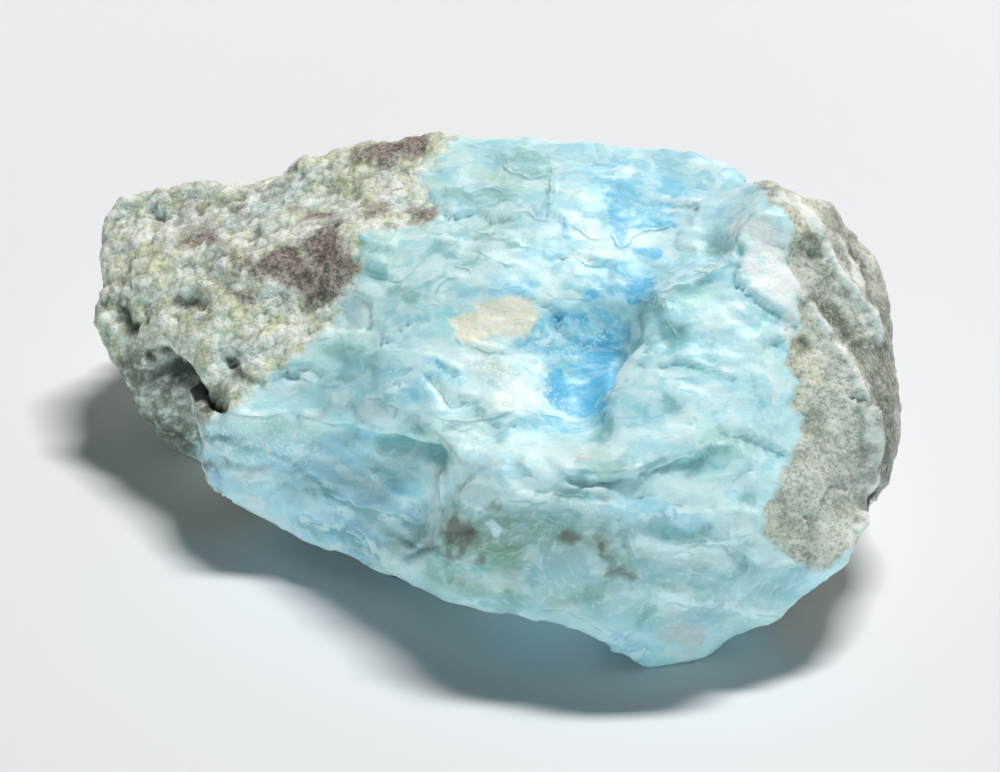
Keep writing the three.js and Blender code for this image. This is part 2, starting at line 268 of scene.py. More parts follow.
def fine_skin(node):
    """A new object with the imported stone's form in fine, even quads."""
    piece = bpy.data.objects.new("larimar_surface", node.data.copy())
    bpy.context.scene.collection.objects.link(piece)
    remesh = piece.modifiers.new("fine", "REMESH")
    remesh.mode = "VOXEL"
    remesh.voxel_size = VOXEL
    evaluated = piece.evaluated_get(bpy.context.evaluated_depsgraph_get())
    fine = bpy.data.meshes.new_from_object(evaluated)
    piece.modifiers.clear()
    piece.data = fine
    return piece


# ---- Strokes and paths in the photograph's frame ---------------------------------------------


def path_distance(pixels, path):
    """For each pixel: its distance to the path, the side it is on (1 is right of the path's
    direction in the picture), and how far along the path it is, from 0 to 1."""
    path = np.array(path, dtype=float)
    if len(path) == 1:
        distance = np.linalg.norm(pixels - path[0], axis=1)
        return distance, np.ones(len(pixels)), np.full(len(pixels), 0.5)
    lengths = np.linalg.norm(np.diff(path, axis=0), axis=1)
    starts = np.concatenate([[0], np.cumsum(lengths)])
    distance = np.full(len(pixels), np.inf)
    side = np.ones(len(pixels))
    along = np.zeros(len(pixels))
    for n, length in enumerate(lengths):
        direction = (path[n + 1] - path[n]) / length
        offset = pixels - path[n]
        reach = np.clip(offset @ direction, 0, length)
        gap = np.linalg.norm(offset - reach[:, None] * direction, axis=1)
        turn = direction[0] * offset[:, 1] - direction[1] * offset[:, 0]
        closer = gap < distance
        side[closer] = np.sign(turn[closer])
        along[closer] = (starts[n] + reach[closer]) / starts[-1]
        distance = np.minimum(distance, gap)
    return distance, side, along


TAPER = 0.15                            # share of a path over which it fades at each end
LEDGE_FACE = 0.25                       # half the width of a ledge's steep side, in mm
RIM_RANGE = 1.0                         # distance in mm from a thin edge that is still stored
RIM_FADE = 0.6                          # and the last part of it, over which the edge fades
GRAZING = 0.02                          # a face turned less than this to the camera is hidden
RAY_SLACK = 0.5                         # mm by which a ray may stop short of its point
SEEN_ROUNDS = 6                         # rounds of blur at the edge of the seen side
AROUND_ROUNDS = 60                      # and more, so that markings reach round that edge
AROUND_SHARES = (0.15, 0.45)
WOBBLE = (5, 2.6, 71)                   # pixels, size in mm and seed: frays the markings
JAG = (3, 1.5, 77)                      # the same: breaks up the thin edges


def tapered(along):
    """Fades a path's carving out at both of its ends."""
    return smoothstep(along, 0, TAPER) * smoothstep(1 - along, 0, TAPER)


class View:
    """The skin as the photograph sees it. Paths are in photo pixels, other sizes in mm."""

    def __init__(self, skin):
        self.pixels = photo_pixels(skin.points)
        seen = self.find_seen(skin)
        self.seen = skin.blur(seen, SEEN_ROUNDS)
        self.around = smoothstep(skin.blur(seen, AROUND_ROUNDS), *AROUND_SHARES)
        self.wobbly = self.shaken(skin.points, *WOBBLE)
        self.jagged = self.shaken(skin.points, *JAG)

    @staticmethod
    def find_seen(skin):
        """1 for each point that the camera sees and 0 for the others."""
        tree = BVHTree.FromPolygons(skin.points.tolist(), skin.faces.tolist())
        camera = Vector(CAMERA_PLACE)
        towards = skin.points - CAMERA_PLACE
        distance = np.linalg.norm(towards, axis=1)
        towards /= distance[:, None]
        facing = (skin.normals() * -towards).sum(axis=1) > GRAZING
        seen = np.zeros(len(skin.points))
        for n in np.flatnonzero(facing):
            hit = tree.ray_cast(camera, Vector(towards[n]))[3]
            seen[n] = hit is not None and hit > distance[n] - RAY_SLACK
        return seen

    def shaken(self, points, reach, size, seed):
        """The pixels, each moved by noise, no further than about this reach in pixels."""
        across, down = wave(points, size, seed), wave(points, size, seed + 3)
        return self.pixels + reach * np.stack([across, down], axis=1)

    def groove(self, width, depth, path):
        """A crack or a narrow hollow."""
        distance, _, along = path_distance(self.pixels, path)
        return -depth * tapered(along) * np.exp(-(distance / PIXELS_PER_MM / width) ** 2)

    def ridge(self, width, height, path):
        """A sharp crest that falls off evenly to both sides."""
        distance, _, along = path_distance(self.pixels, path)
        return height * tapered(along) * np.clip(1 - distance / PIXELS_PER_MM / width, 0, 1) ** 1.5

    def ledge(self, reach, height, path):
        """A step along the path: it stands up on the path's left and fades away over reach."""
        distance, side, along = path_distance(self.pixels, path)
        left = -side * distance / PIXELS_PER_MM
        step = smoothstep(left, -LEDGE_FACE, LEDGE_FACE) * (1 - smoothstep(left / reach, 0.1, 1))
        return height * tapered(along) * step

    def dent(self, radius, depth, path):
        """A smooth hollow around a point or along a path."""
        distance, _, _ = path_distance(self.pixels, path)
        fall = np.clip(1 - (distance / PIXELS_PER_MM / radius) ** 2, 0, 1)
        return -depth * fall ** 2

    def border(self, path):
        """Depth in millimetres on the right of a border, less than nothing on its left."""
        distance, side, _ = path_distance(self.wobbly, path)
        return side * distance / PIXELS_PER_MM

    def rims(self, paths):
        """How far left of the nearest path each point is, in millimetres, and a share from 0 to
        1 that is full beside the paths."""
        nearest = np.full(len(self.pixels), np.inf)
        left = np.zeros(len(self.pixels))
        beside = np.zeros(len(self.pixels))
        for path in paths:
            distance, side, along = path_distance(self.jagged, path)
            distance = distance / PIXELS_PER_MM
            closer = distance < nearest
            nearest[closer] = distance[closer]
            left[closer] = (-side * distance)[closer]
            fade = smoothstep(RIM_RANGE - distance, 0, RIM_FADE)
            beside[closer] = (tapered(along) * fade)[closer]
        return left, beside

    def strokes(self, marks):
        """How deep each point lies inside the nearest stroke of a marking, in millimetres."""
        depth = np.full(len(self.pixels), -np.inf)
        for radius, *path in marks:
            distance, _, _ = path_distance(self.wobbly, path)
            depth = np.maximum(depth, radius - distance)
        return depth / PIXELS_PER_MM


# ---- Carving: what the photograph shows of ledges, cracks and hollows ------------------------
# Each line is a radius, width or reach and a depth or height, both in millimetres, and then the
# path in photo pixels.

DENTS = [
    (4.5, 1.1, [(575, 395), (590, 365), (605, 335)]),            # the deep blue hollow
    (2.0, 0.7, [(712, 246)]),                                    # shaded nick under the crest
    (1.6, 0.7, [(677, 337), (668, 342)]),                        # nick in the steep wall
    (3.2, 1.0, [(425, 505), (412, 535)]),                        # corner between the two blocks
    (2.0, 0.4, [(602, 428)]),
    (3.0, 0.4, [(365, 262), (385, 268)]),
    (1.8, 0.4, [(750, 322)]),
    (1.8, 0.4, [(750, 498)]),
    (3.4, 0.6, [(770, 425), (768, 460)]),
    (2.6, 1.3, [(874, 503)]),
    (2.6, 2.6, [(166, 376), (186, 389), (208, 402)]),            # dark cavity of the crust
    (1.6, 1.0, [(119, 309), (129, 325)]),
    (1.5, 0.7, [(180, 299), (197, 301)]),
    (1.5, 0.8, [(162, 352), (176, 364)]),
    (1.3, 0.6, [(231, 361)]),
    (1.6, 0.5, [(192, 241), (208, 232)]),
    (2.0, 0.4, [(458, 532)]),
]

GROOVES = [
    (0.40, 1.2, [(336, 425), (358, 432), (392, 442), (447, 460)]),  # crack above the left block
    (0.60, 1.3, [(384, 438), (412, 449), (449, 457)]),
    (0.35, 0.5, [(283, 370), (288, 374), (298, 377)]),
    (0.35, 0.4, [(286, 411), (300, 418)]),
    (0.35, 0.4, [(421, 371), (436, 386), (448, 404), (480, 400)]),
    (0.35, 0.3, [(428, 359), (442, 367), (457, 377)]),
    (0.6, 0.45, [(563, 478), (590, 482), (629, 478)]),
    (0.8, 0.25, [(552, 493), (583, 497), (610, 502)]),
    (0.6, 0.5, [(441, 495), (425, 520), (418, 548), (398, 562)]),
    (0.35, 0.3, [(362, 270), (380, 276), (397, 280), (416, 262)]),
    (0.5, 0.5, [(640, 302), (622, 322), (604, 398)]),
]

LEDGES = [
    (4.0, 0.50, [(840, 352), (858, 395), (870, 440), (866, 495), (850, 548)]),
    (3.5, 0.40, [(800, 205), (815, 232), (832, 275), (868, 317), (880, 350)]),
    (6.0, 0.30, [(350, 273), (363, 271), (397, 280), (418, 261), (470, 250)]),
    (4.0, 0.16, [(478, 262), (500, 268), (530, 262), (552, 270)]),
    (5.0, 0.10, [(556, 300), (585, 290), (630, 292), (650, 278)]),
    (6.0, 0.20, [(430, 198), (470, 205), (500, 200), (548, 216), (600, 236)]),
    (5.0, 0.16, [(495, 182), (520, 180), (548, 172)]),
    (4.0, 0.16, [(315, 385), (330, 395), (352, 402), (375, 398)]),
    (5.0, 0.18, [(352, 420), (375, 430), (400, 424), (420, 405)]),
    (4.0, 0.16, [(455, 330), (470, 346), (500, 352), (540, 335)]),
    (5.0, 0.16, [(480, 410), (520, 418), (556, 416), (582, 420)]),
    (6.0, 0.50, [(540, 452), (563, 474), (600, 480), (634, 474), (670, 462), (722, 448)]),
    (6.0, 0.30, [(630, 520), (650, 532), (690, 540), (730, 542), (760, 536)]),
    (4.0, 0.22, [(560, 610), (600, 622), (640, 640), (680, 650)]),
    (5.0, 0.25, [(250, 450), (300, 470), (350, 500), (400, 525)]),
    (4.0, 0.22, [(290, 505), (330, 525), (370, 548)]),
    (4.0, 0.30, [(335, 445), (365, 470), (400, 500), (420, 505)]),
]

RIDGES = [
    (1.2, 0.6, [(447, 462), (443, 485), (430, 505), (420, 530), (405, 556)]),
    (0.9, 0.4, [(215, 411), (240, 415), (262, 417), (290, 413), (338, 426)]),
    (1.1, 0.7, [(797, 287), (822, 325), (845, 362), (862, 400), (873, 445), (866, 495),
                (852, 548)]),
    (1.0, 0.6, [(797, 200), (815, 232), (832, 272), (850, 292), (868, 316), (880, 345)]),
    (0.8, 0.5, [(750, 216), (742, 232), (733, 255), (712, 275), (690, 283), (660, 290)]),
    (1.0, 0.3, [(640, 532), (680, 545), (725, 541), (760, 530)]),
    (1.0, 0.2, [(503, 494), (525, 500), (550, 502)]),
    (0.9, 0.25, [(655, 592), (700, 604), (745, 612), (790, 617)]),
    (1.0, 0.4, [(603, 402), (620, 372), (645, 350)]),
]

# Thin crisp edges: each runs with the higher side on its left. The colours get a painted highlight
# on that side and a painted shadow line on the other
RIMS = [
    [(222, 409), (240, 416), (262, 418), (290, 412), (318, 421), (345, 428), (370, 435)],
    [(370, 435), (395, 445), (420, 455), (447, 460)],
    [(421, 371), (430, 378), (440, 392), (449, 404), (470, 402), (482, 396)],
    [(402, 372), (416, 366), (428, 362), (442, 369), (457, 377)],
    [(425, 410), (440, 417), (462, 420), (485, 417), (515, 413), (545, 414), (582, 420)],
    [(448, 424), (458, 428), (470, 425)],
    [(452, 334), (462, 344), (480, 350), (500, 350)],
    [(283, 369), (288, 374), (298, 378), (330, 386), (350, 380)],
    [(286, 410), (299, 418)],
    [(340, 404), (356, 398), (380, 398), (398, 408), (396, 424)],
    [(350, 268), (366, 273), (386, 277), (398, 280), (412, 272), (424, 258)],
    [(440, 306), (433, 298), (437, 286), (448, 279), (462, 281)],
    [(432, 252), (450, 264), (468, 270), (474, 278)],
    [(468, 246), (486, 256), (506, 266), (524, 264)],
    [(466, 226), (486, 232), (508, 243), (540, 250), (566, 254)],
    [(436, 206), (460, 196), (482, 190), (505, 194), (520, 199), (545, 206)],
    [(494, 148), (500, 162), (512, 174), (530, 179), (550, 177)],
    [(550, 150), (551, 180), (550, 212)],
    [(508, 213), (530, 214), (552, 219)],
    [(568, 224), (590, 238), (606, 237)],
    [(570, 252), (584, 264), (604, 262), (624, 254)],
    [(540, 288), (556, 300), (578, 300), (600, 296), (622, 297)],
    [(608, 226), (616, 244), (624, 248), (632, 236), (650, 228), (676, 222)],
    [(668, 204), (690, 205), (704, 202)],
    [(634, 262), (652, 268), (680, 272), (704, 270), (716, 262)],
    [(700, 282), (712, 274), (726, 256), (738, 242), (746, 224), (758, 209)],
    [(655, 292), (672, 288), (692, 284), (704, 280)],
    [(652, 288), (662, 308), (667, 326), (678, 339)],
    [(604, 402), (614, 384), (626, 364), (642, 350)],
    [(560, 474), (580, 478), (606, 480), (636, 478)],
    [(636, 484), (654, 470), (676, 460), (704, 455), (728, 448)],
    [(552, 493), (570, 496), (586, 497)],
    [(640, 536), (660, 544), (690, 546), (716, 544), (738, 540)],
    [(700, 536), (724, 546), (736, 556), (726, 572)],
    [(505, 498), (528, 502), (552, 501)],
    [(650, 600), (680, 603), (720, 607), (760, 611), (792, 618)],
    [(536, 612), (560, 610), (590, 622), (606, 636)],
    [(316, 486), (334, 497), (356, 507), (386, 512), (412, 522)],
    [(300, 520), (324, 524), (350, 532), (364, 545)],
    [(352, 524), (366, 536), (372, 552), (384, 562)],
    [(400, 496), (412, 504), (418, 514), (414, 532)],
    [(446, 462), (444, 480), (436, 500), (426, 520), (420, 545)],
]

CARVING_LIMITS = (-3, 2)                # mm, where several of them meet


def carve(skin, view):
    """The named ledges, cracks and hollows of the side that the photograph shows."""
    height = sum(view.dent(*mark) for mark in DENTS)
    height += sum(view.groove(*mark) for mark in GROOVES)
    height += sum(view.ledge(*mark) for mark in LEDGES)
    height += sum(view.ridge(*mark) for mark in RIDGES)
    skin.raise_by(np.clip(height, *CARVING_LIMITS) * view.seen)


# ---- Zones and relief of the whole stone -----------------------------------------------------

CRUST_EDGE = -18.0                      # the crust lies left of this x, where y is 0
CRUST_SLANT = 0.545                     # and its border swings right by this for each mm of y
CRUST_FRONT = -14.0                     # the left block, in front of this y, is bare pectolite
CRUST_RISE = 1.2                        # and the crust deepens by this for each mm behind it
ZONE_BORDER = (-1, 1)                   # depths in mm between which one zone passes into the next
RIND_EDGE = 28.5                        # the basalt lies right of this x

# The same borders as the photograph shows them, each drawn with its own zone on its left
CRUST_BORDER = [
    (190, 500), (197, 455), (206, 430), (214, 414), (240, 402), (262, 386), (284, 372), (302, 352),
    (332, 330), (340, 302), (354, 290), (356, 262), (362, 240), (392, 228), (424, 222), (436, 214),
    (436, 206), (424, 196), (420, 184), (430, 166), (450, 146), (462, 132), (470, 100),
]
RIND_BORDER = [
    (752, 180), (768, 199), (784, 208), (794, 232), (783, 258), (800, 282), (797, 318),
    (803, 326), (790, 345), (787, 362), (797, 384), (788, 402), (803, 420), (798, 446),
    (782, 476), (770, 500), (759, 526), (783, 550), (803, 567), (826, 566), (856, 546), (900, 520),
]


class Zones:
    """Depth inside the crust and the rind, in millimetres, and soft shares from 0 to 1."""

    def __init__(self, skin, view):
        points = skin.points
        x, y, _ = points.T
        ragged = 2.0 * clouds(points, size=9, seed=31) + 1.2 * clouds(points, size=3, seed=35)
        behind_front = CRUST_RISE * (y - CRUST_FRONT)
        hidden_crust = np.minimum(CRUST_EDGE + CRUST_SLANT * y - x, behind_front)
        self.crust_depth = self.joined(view, -view.border(CRUST_BORDER), hidden_crust + ragged)
        self.rind_depth = self.joined(view, -view.border(RIND_BORDER), x - RIND_EDGE + ragged)
        self.crust = smoothstep(self.crust_depth, *ZONE_BORDER)
        self.rind = smoothstep(self.rind_depth, *ZONE_BORDER)
        self.blue = (1 - self.crust) * (1 - self.rind)

    @staticmethod
    def joined(view, seen_depth, hidden_depth):
        return view.around * seen_depth + (1 - view.around) * hidden_depth


FIBRE_DIRECTION = np.array([0.93, -0.30, 0.20])
LONG_GRAIN = 2.2                        # flakes are this many times longer along the fibres
FLAKE_BEND = 0.28                       # how far their borders are bent, as a share of their size
TERRACE_LEVELS = 3                      # level lines on each side of the middle of the wave
TERRACE_RISE = 0.7                      # a terrace is level up to here and then rises to the next
KNOB_BEND = (0.55, 1.3)                 # how far knobs are bent and by how wide a noise, as shares
CREASE_WIDTH = 0.28                     # the crease between two knobs, also as a share


def along_fibres(points):
    """points squeezed along the fibres, so that noise on them comes out stretched."""
    direction = FIBRE_DIRECTION / np.linalg.norm(FIBRE_DIRECTION)
    reach = points @ direction
    return points - (1 - 1 / LONG_GRAIN) * reach[:, None] * direction


def flakes(points, size, step, tilt, seed):
    """Broken flakes: each has its own level and tilt. Gives the height and a tint for each."""
    warped = along_fibres(points) + FLAKE_BEND * size * wander(points, size, seed)
    _, _, away, owner = cells(warped, size, seed)
    level = 2 * scatter(owner, seed + 50) - 1
    slope = 2 * scatter_vectors(owner, seed + 51) - 1
    height = step * level + tilt * size * (away * slope).sum(axis=1)
    return height, scatter(owner, seed + 90)


def terraces(points, size, step, seed):
    """Low steps that follow the level lines of a slow wave."""
    level = TERRACE_LEVELS * clouds(along_fibres(points), size, seed)
    whole = np.floor(level)
    return step * (whole + smoothstep(level - whole, TERRACE_RISE, 1.0) - level)


def pectolite_relief(points):
    large, tint_large = flakes(points, size=6.5, step=0.15, tilt=0.06, seed=11)
    middle, tint_middle = flakes(points, size=2.6, step=0.06, tilt=0.05, seed=12)
    height = large + middle + terraces(points, size=7, step=0.13, seed=21)
    height += 0.06 * clouds(points, size=1.6, seed=24)
    return height, 0.6 * tint_large + 0.4 * tint_middle


def knobs(points, size, height, seed):
    """Round grains with creases between them. Gives the height, the crease and a tint."""
    reach, width = KNOB_BEND
    warped = points + reach * size * wander(points, width * size, seed)
    near, second, _, owner = cells(warped, size, seed)
    crease = 1 - smoothstep(second - near, 0.0, CREASE_WIDTH)
    own = scatter(owner, seed + 60)
    return height * (0.6 - near ** 2 + 0.5 * own - 0.5 * crease), crease, scatter(owner, seed + 61)


def crust_relief(points):
    lumpy = smoothstep(clouds(points, size=9, seed=39), -0.3, 0.5)
    coarse, crease, tint = knobs(points, size=2.6, height=0.42, seed=41)
    fine, fine_crease, _ = knobs(points, size=1.2, height=0.20, seed=42)
    pits = smoothstep(clouds(points, size=4.2, seed=44), 0.22, 0.55)
    uneven = 0.30 * clouds(points, size=2.2, seed=49)
    height = (0.35 + 0.65 * lumpy) * coarse + fine + uneven - 0.8 * pits
    return height, np.maximum(lumpy * crease, 0.5 * fine_crease), tint, pits


def rind_relief(points):
    coarse, _, _ = knobs(points, size=1.5, height=0.12, seed=46)
    facets, _ = flakes(points, size=5.0, step=0.16, tilt=0.07, seed=47)
    return coarse + facets + 0.12 * clouds(points, size=1.3, seed=48)


HIDDEN_GAIN = 0.7                       # the flakes stand this much higher where nothing is carved


def spread_relief(skin, view, zones):
    """Flakes, grains and steps over the whole stone. Returns what the colours go by."""
    points = skin.points
    pectolite, flake_tint = pectolite_relief(points)
    crust, crease, grain_tint, pits = crust_relief(points)
    rind = rind_relief(points)
    pectolite *= 1 + HIDDEN_GAIN * (1 - view.around)
    skin.raise_by(zones.blue * pectolite + zones.crust * crust + zones.rind * rind)
    return {
        "flake": flake_tint,
        "grain": grain_tint,
        "crease": zones.crust * np.maximum(crease * 0.6, pits),
    }


RESTING_HEIGHTS = (0.3, 1.5)            # mm: flat below the first, as carved above the second
RESTING_ROUGHNESS = 0.12                # mm by which the flat part is uneven


def keep_resting_face(skin, smooth_z):
    """The underside stays flat where the stone rests, and nothing reaches below the table."""
    near_table = 1 - smoothstep(smooth_z, *RESTING_HEIGHTS)
    z = skin.points[:, 2]
    roughness = RESTING_ROUGHNESS * (1 + clouds(skin.points, size=2.5, seed=81))
    skin.points[:, 2] = np.maximum(z * (1 - near_table) + near_table * roughness, 0)


# ---- Markings --------------------------------------------------------------------------------
# Each stroke is a radius and then the points it runs through, all in photo pixels.

VIVID_BLUE = [
    (24, (590, 350), (590, 392)), (12, (545, 328), (600, 314), (614, 330)),
    (12, (528, 343), (560, 346)), (11, (554, 382), (568, 402)), (8, (525, 421), (572, 426)),
    (17, (606, 172), (628, 205)), (20, (640, 210), (668, 196)), (11, (621, 210), (622, 240)),
    (6, (564, 224), (565, 232)), (9, (639, 254), (655, 252)), (11, (596, 270), (640, 272)),
    (7, (585, 294), (636, 290), (646, 284)), (7, (494, 283), (530, 290)),
    (6, (548, 250), (560, 262)), (6, (548, 214), (540, 222)), (6, (418, 392), (424, 380)),
    (3, (432, 362), (456, 376)),
]

DEEP_BLUE = [
    (14, (602, 344), (596, 372), (590, 402)), (12, (556, 380), (566, 402)),
    (4, (556, 322), (592, 318)), (4, (582, 295), (606, 295)), (9, (634, 294), (648, 284)),
    (6, (621, 222), (622, 244)), (4, (564, 226), (565, 230)), (6, (640, 252), (655, 253)),
    (3, (634, 226), (672, 222)), (3, (613, 200), (614, 220)),
]

SHADES = [
    (9, (505, 157), (540, 163)), (6, (522, 174), (546, 173)),
    (5, (446, 199), (490, 194), (512, 199)), (3, (549, 180), (547, 212)),
    (7, (436, 250), (470, 258)), (4, (474, 238), (506, 246)), (5, (356, 236), (368, 258)),
    (10, (352, 262), (378, 268)), (5, (395, 290), (412, 300)),
    (7, (388, 444), (420, 450), (446, 455)), (4, (420, 430), (395, 436)),
    (3, (448, 424), (459, 428)), (7, (708, 240), (716, 250)), (4, (698, 280), (714, 272)),
    (4, (728, 236), (736, 228)), (6, (654, 300), (662, 322), (672, 337)),
    (5, (640, 318), (634, 344)), (6, (602, 428), (596, 440)), (4, (566, 478), (628, 480)),
    (5, (634, 484), (660, 467), (700, 458)), (4, (700, 456), (726, 450)),
    (4, (556, 494), (584, 497)), (9, (656, 530), (700, 535)), (4, (704, 538), (732, 550)),
    (5, (750, 497), (744, 502)), (6, (742, 560), (734, 576)), (5, (652, 606), (640, 622)),
    (4, (314, 487), (348, 506), (402, 524)), (7, (306, 524), (342, 532), (362, 548)),
    (5, (414, 524), (412, 531)), (4, (664, 398), (690, 420)), (3, (474, 402), (478, 410)),
    (3, (345, 377), (362, 371)), (8, (330, 350), (372, 362)), (4, (520, 462), (530, 484)),
]

PEAK = [
    (9, (744, 230), (758, 238)), (13, (764, 230), (772, 256), (776, 278)),
    (9, (752, 264), (766, 282), (782, 292)), (8, (788, 258), (791, 288)),
    (6, (788, 300), (790, 330)),
]

WHITE = [
    (4, (744, 226), (738, 244), (724, 258), (712, 271), (690, 283), (662, 289)),
    (6, (488, 251), (514, 258)), (4, (467, 246), (468, 252)), (4, (568, 214), (594, 219)),
    (6, (574, 229), (596, 234)), (7, (576, 257), (612, 250)), (4, (542, 229), (558, 226)),
    (5, (508, 208), (530, 210)), (5, (545, 276), (558, 280)), (4, (572, 309), (604, 307)),
    (7, (544, 291), (570, 297)), (4, (666, 203), (686, 202), (702, 197)),
    (6, (618, 170), (630, 169)), (7, (636, 239), (672, 235)), (8, (700, 166), (716, 170)),
    (6, (352, 292), (372, 286)), (5, (390, 271), (398, 264)), (6, (424, 272), (438, 264)),
    (4, (440, 290), (450, 283)), (3, (412, 323), (402, 336)), (3, (389, 323), (390, 326)),
    (4, (432, 350), (470, 352)), (7, (432, 388), (470, 394)), (11, (368, 414), (388, 418)),
    (4, (393, 387), (402, 391)), (4, (344, 398), (349, 404)), (4, (558, 412), (580, 418)),
    (3, (496, 415), (520, 410)), (6, (500, 392), (540, 402)), (5, (520, 330), (546, 332)),
    (6, (430, 226), (446, 232)), (7, (609, 394), (626, 368), (642, 352)),
    (6, (506, 488), (546, 493)), (7, (538, 452), (542, 472)), (4, (590, 484), (632, 481)),
    (8, (676, 506), (712, 500)), (5, (656, 490), (712, 486)),
    (5, (640, 542), (690, 550), (734, 545)), (9, (742, 526), (776, 548)),
    (7, (756, 555), (800, 561)), (4, (652, 596), (720, 604), (772, 614)),
    (3, (450, 604), (530, 618)), (4, (600, 640), (650, 656)), (6, (666, 439), (680, 440)),
    (4, (492, 527), (494, 531)), (8, (738, 484), (754, 482)), (4, (338, 462), (338, 470)),
    (5, (344, 474), (370, 486)), (3, (318, 481), (325, 486)), (4, (340, 511), (346, 518)),
    (2.5, (305, 519), (342, 527)), (5, (384, 524), (400, 535)), (5, (370, 545), (386, 560)),
    (4, (336, 545), (346, 556)), (5, (404, 498), (411, 510)), (3, (256, 478), (268, 480)),
    (3, (254, 509), (262, 510)), (4, (290, 447), (300, 450)), (3, (306, 440), (310, 444)),
    (5, (442, 478), (430, 500), (424, 526)), (6, (420, 546), (398, 562)),
    (9, (702, 326), (724, 320)), (6, (772, 372), (774, 392)), (6, (675, 430), (690, 410)),
    (6, (670, 380), (690, 385)), (5, (620, 340), (634, 330)),
]

CREAM = [
    (17, (472, 325), (500, 318), (522, 316)), (8, (455, 322), (470, 335)),
]

SUGAR = [
    (18, (488, 356), (506, 375), (514, 396)), (8, (546, 384), (566, 404)),
    (6, (556, 330), (592, 320)), (6, (594, 338), (606, 330)), (5, (552, 352), (576, 350)),
    (26, (232, 434), (300, 446)), (9, (250, 480), (270, 486)), (7, (395, 383), (400, 388)),
    (11, (722, 262), (742, 236), (752, 216)), (5, (655, 298), (672, 290)),
]

BROWN = [
    (20, (325, 247), (333, 266), (318, 286)), (16, (290, 264), (304, 280)),
    (10, (268, 266), (285, 270)), (7, (250, 266), (262, 270)), (7, (346, 262), (350, 268)),
    (4, (236, 258), (238, 262)), (5, (233, 290), (250, 297)), (7, (188, 244), (210, 232)),
    (4, (236, 207), (240, 211)), (3, (292, 208), (296, 210)), (4, (309, 218), (333, 219)),
    (4, (371, 213), (381, 207)), (3, (388, 227), (394, 226)), (4, (412, 216), (434, 213)),
    (12, (372, 156), (398, 148), (420, 143)), (6, (390, 165), (360, 158)),
]

FRONT_STAINS = [
    (11, (456, 530), (463, 542)), (6, (450, 552), (448, 556)), (3, (492, 507), (496, 505)),
    (3, (556, 537), (582, 535)), (3, (600, 541), (604, 556), (612, 566)),
    (4, (614, 574), (632, 580)), (3, (481, 557), (484, 557)), (4, (202, 462), (212, 468)),
]

# Painted shade in the pits, cavities and cracks of the crust and rind
PIT_SHADES = [
    (11, (170, 378), (190, 389), (212, 406)), (4, (162, 352), (176, 365)),
    (4, (119, 306), (130, 326)), (4, (178, 296), (196, 301)), (3, (230, 358), (233, 366)),
    (2.5, (280, 367), (287, 373), (297, 377)), (2, (286, 411), (300, 418)),
    (4, (803, 342), (806, 347)), (6, (874, 498), (878, 506)), (3, (530, 195), (531, 196)),
    (3, (236, 372), (262, 386)), (3, (148, 352), (152, 356)),
]

# The rind's sharp edges: a pale line along each, a painted highlight
ARRISES = [
    (2.5, (797, 287), (822, 326), (845, 362), (862, 402), (873, 446), (866, 495), (852, 547)),
    (4, (799, 203), (814, 232), (822, 254), (834, 276), (850, 294), (868, 318), (879, 342)),
    (2.5, (838, 238), (852, 268), (862, 292)), (2, (776, 194), (790, 200), (800, 212)),
]

MARKINGS = {
    "vivid": VIVID_BLUE, "deep": DEEP_BLUE, "shade": SHADES, "peak": PEAK, "white": WHITE,
    "cream": CREAM, "sugar": SUGAR, "brown": BROWN, "stain": FRONT_STAINS, "pit_shade": PIT_SHADES,
    "arris": ARRISES,
}

# Where the photograph doesn't reach, each marking follows noise: size, level and seed
HIDDEN_MARKINGS = {
    "vivid": (10, 0.16, 104), "deep": (7, 0.40, 101), "shade": (6, 0.26, 116),
    "peak": (9, 0.50, 119), "white": (6, 0.24, 107), "cream": (7, 0.46, 110),
    "sugar": (7, 0.30, 113), "brown": (9, 0.34, 122), "stain": (8, 0.50, 125),
    "pit_shade": (4, 0.50, 134), "arris": (6, 0.60, 140),
}
MARK_RANGE = 3.0                        # depth in mm at which a stored marking is full or empty


def as_mark(depth):
    """Depth inside a marking as 0 to 1, with its border at a half."""
    return np.clip(0.5 + 0.5 * depth / MARK_RANGE, 0, 1)


def marking_fields(skin, view):
    fields = {}
    for name, strokes in MARKINGS.items():
        size, level, seed = HIDDEN_MARKINGS[name]
        hidden = size * (clouds(skin.points, size, seed) - level)
        depth = view.around * view.strokes(strokes) + (1 - view.around) * hidden
        fields[name] = as_mark(depth)
    return fields


def rim_fields(skin, view):
    """The thin edges: depth to their left, with the edge itself at a half, and where they are."""
    seen_left, seen_beside = view.rims(RIMS)
    hidden_left = 9 * clouds(along_fibres(skin.points), size=5, seed=165)
    hidden_beside = smoothstep(clouds(skin.points, size=6, seed=168), -0.05, 0.2)
    seen_beside *= smoothstep(clouds(skin.points, size=3, seed=169, octaves=2), -0.25, 0.15)
    left = view.around * seen_left + (1 - view.around) * hidden_left
    return {
        "rim_left": np.clip(0.5 + 0.5 * left / RIM_RANGE, 0, 1),
        "rim_beside": view.around * seen_beside + (1 - view.around) * hidden_beside,
    }


FINE_ROUNDS = 5                         # rounds of blur that even out a sharp edge
BROAD_ROUNDS = 45                       # and a hollow
FULL_EDGE = 0.16                        # mm above the evened skin at which an edge is full
FULL_HOLLOW = 0.8                       # mm below it at which a broad hollow is full
FULL_NICK = 0.30                        # and a fine one


# edge gives the colours a painted highlight on raised edges, hollow gives them painted shade in
# hollows
def highlight_and_shade_fields(skin):
    """How much each point stands out (edge) or lies in a hollow (hollow), from 0 to 1."""
    normals = skin.normals()
    fine = ((skin.points - skin.blurred_points(FINE_ROUNDS)) * normals).sum(axis=1)
    broad = ((skin.points - skin.blurred_points(BROAD_ROUNDS)) * normals).sum(axis=1)
    return {
        "edge": np.clip(fine / FULL_EDGE, 0, 1),
        "hollow": np.clip(-broad / FULL_HOLLOW - fine / FULL_NICK, 0, 1),
    }


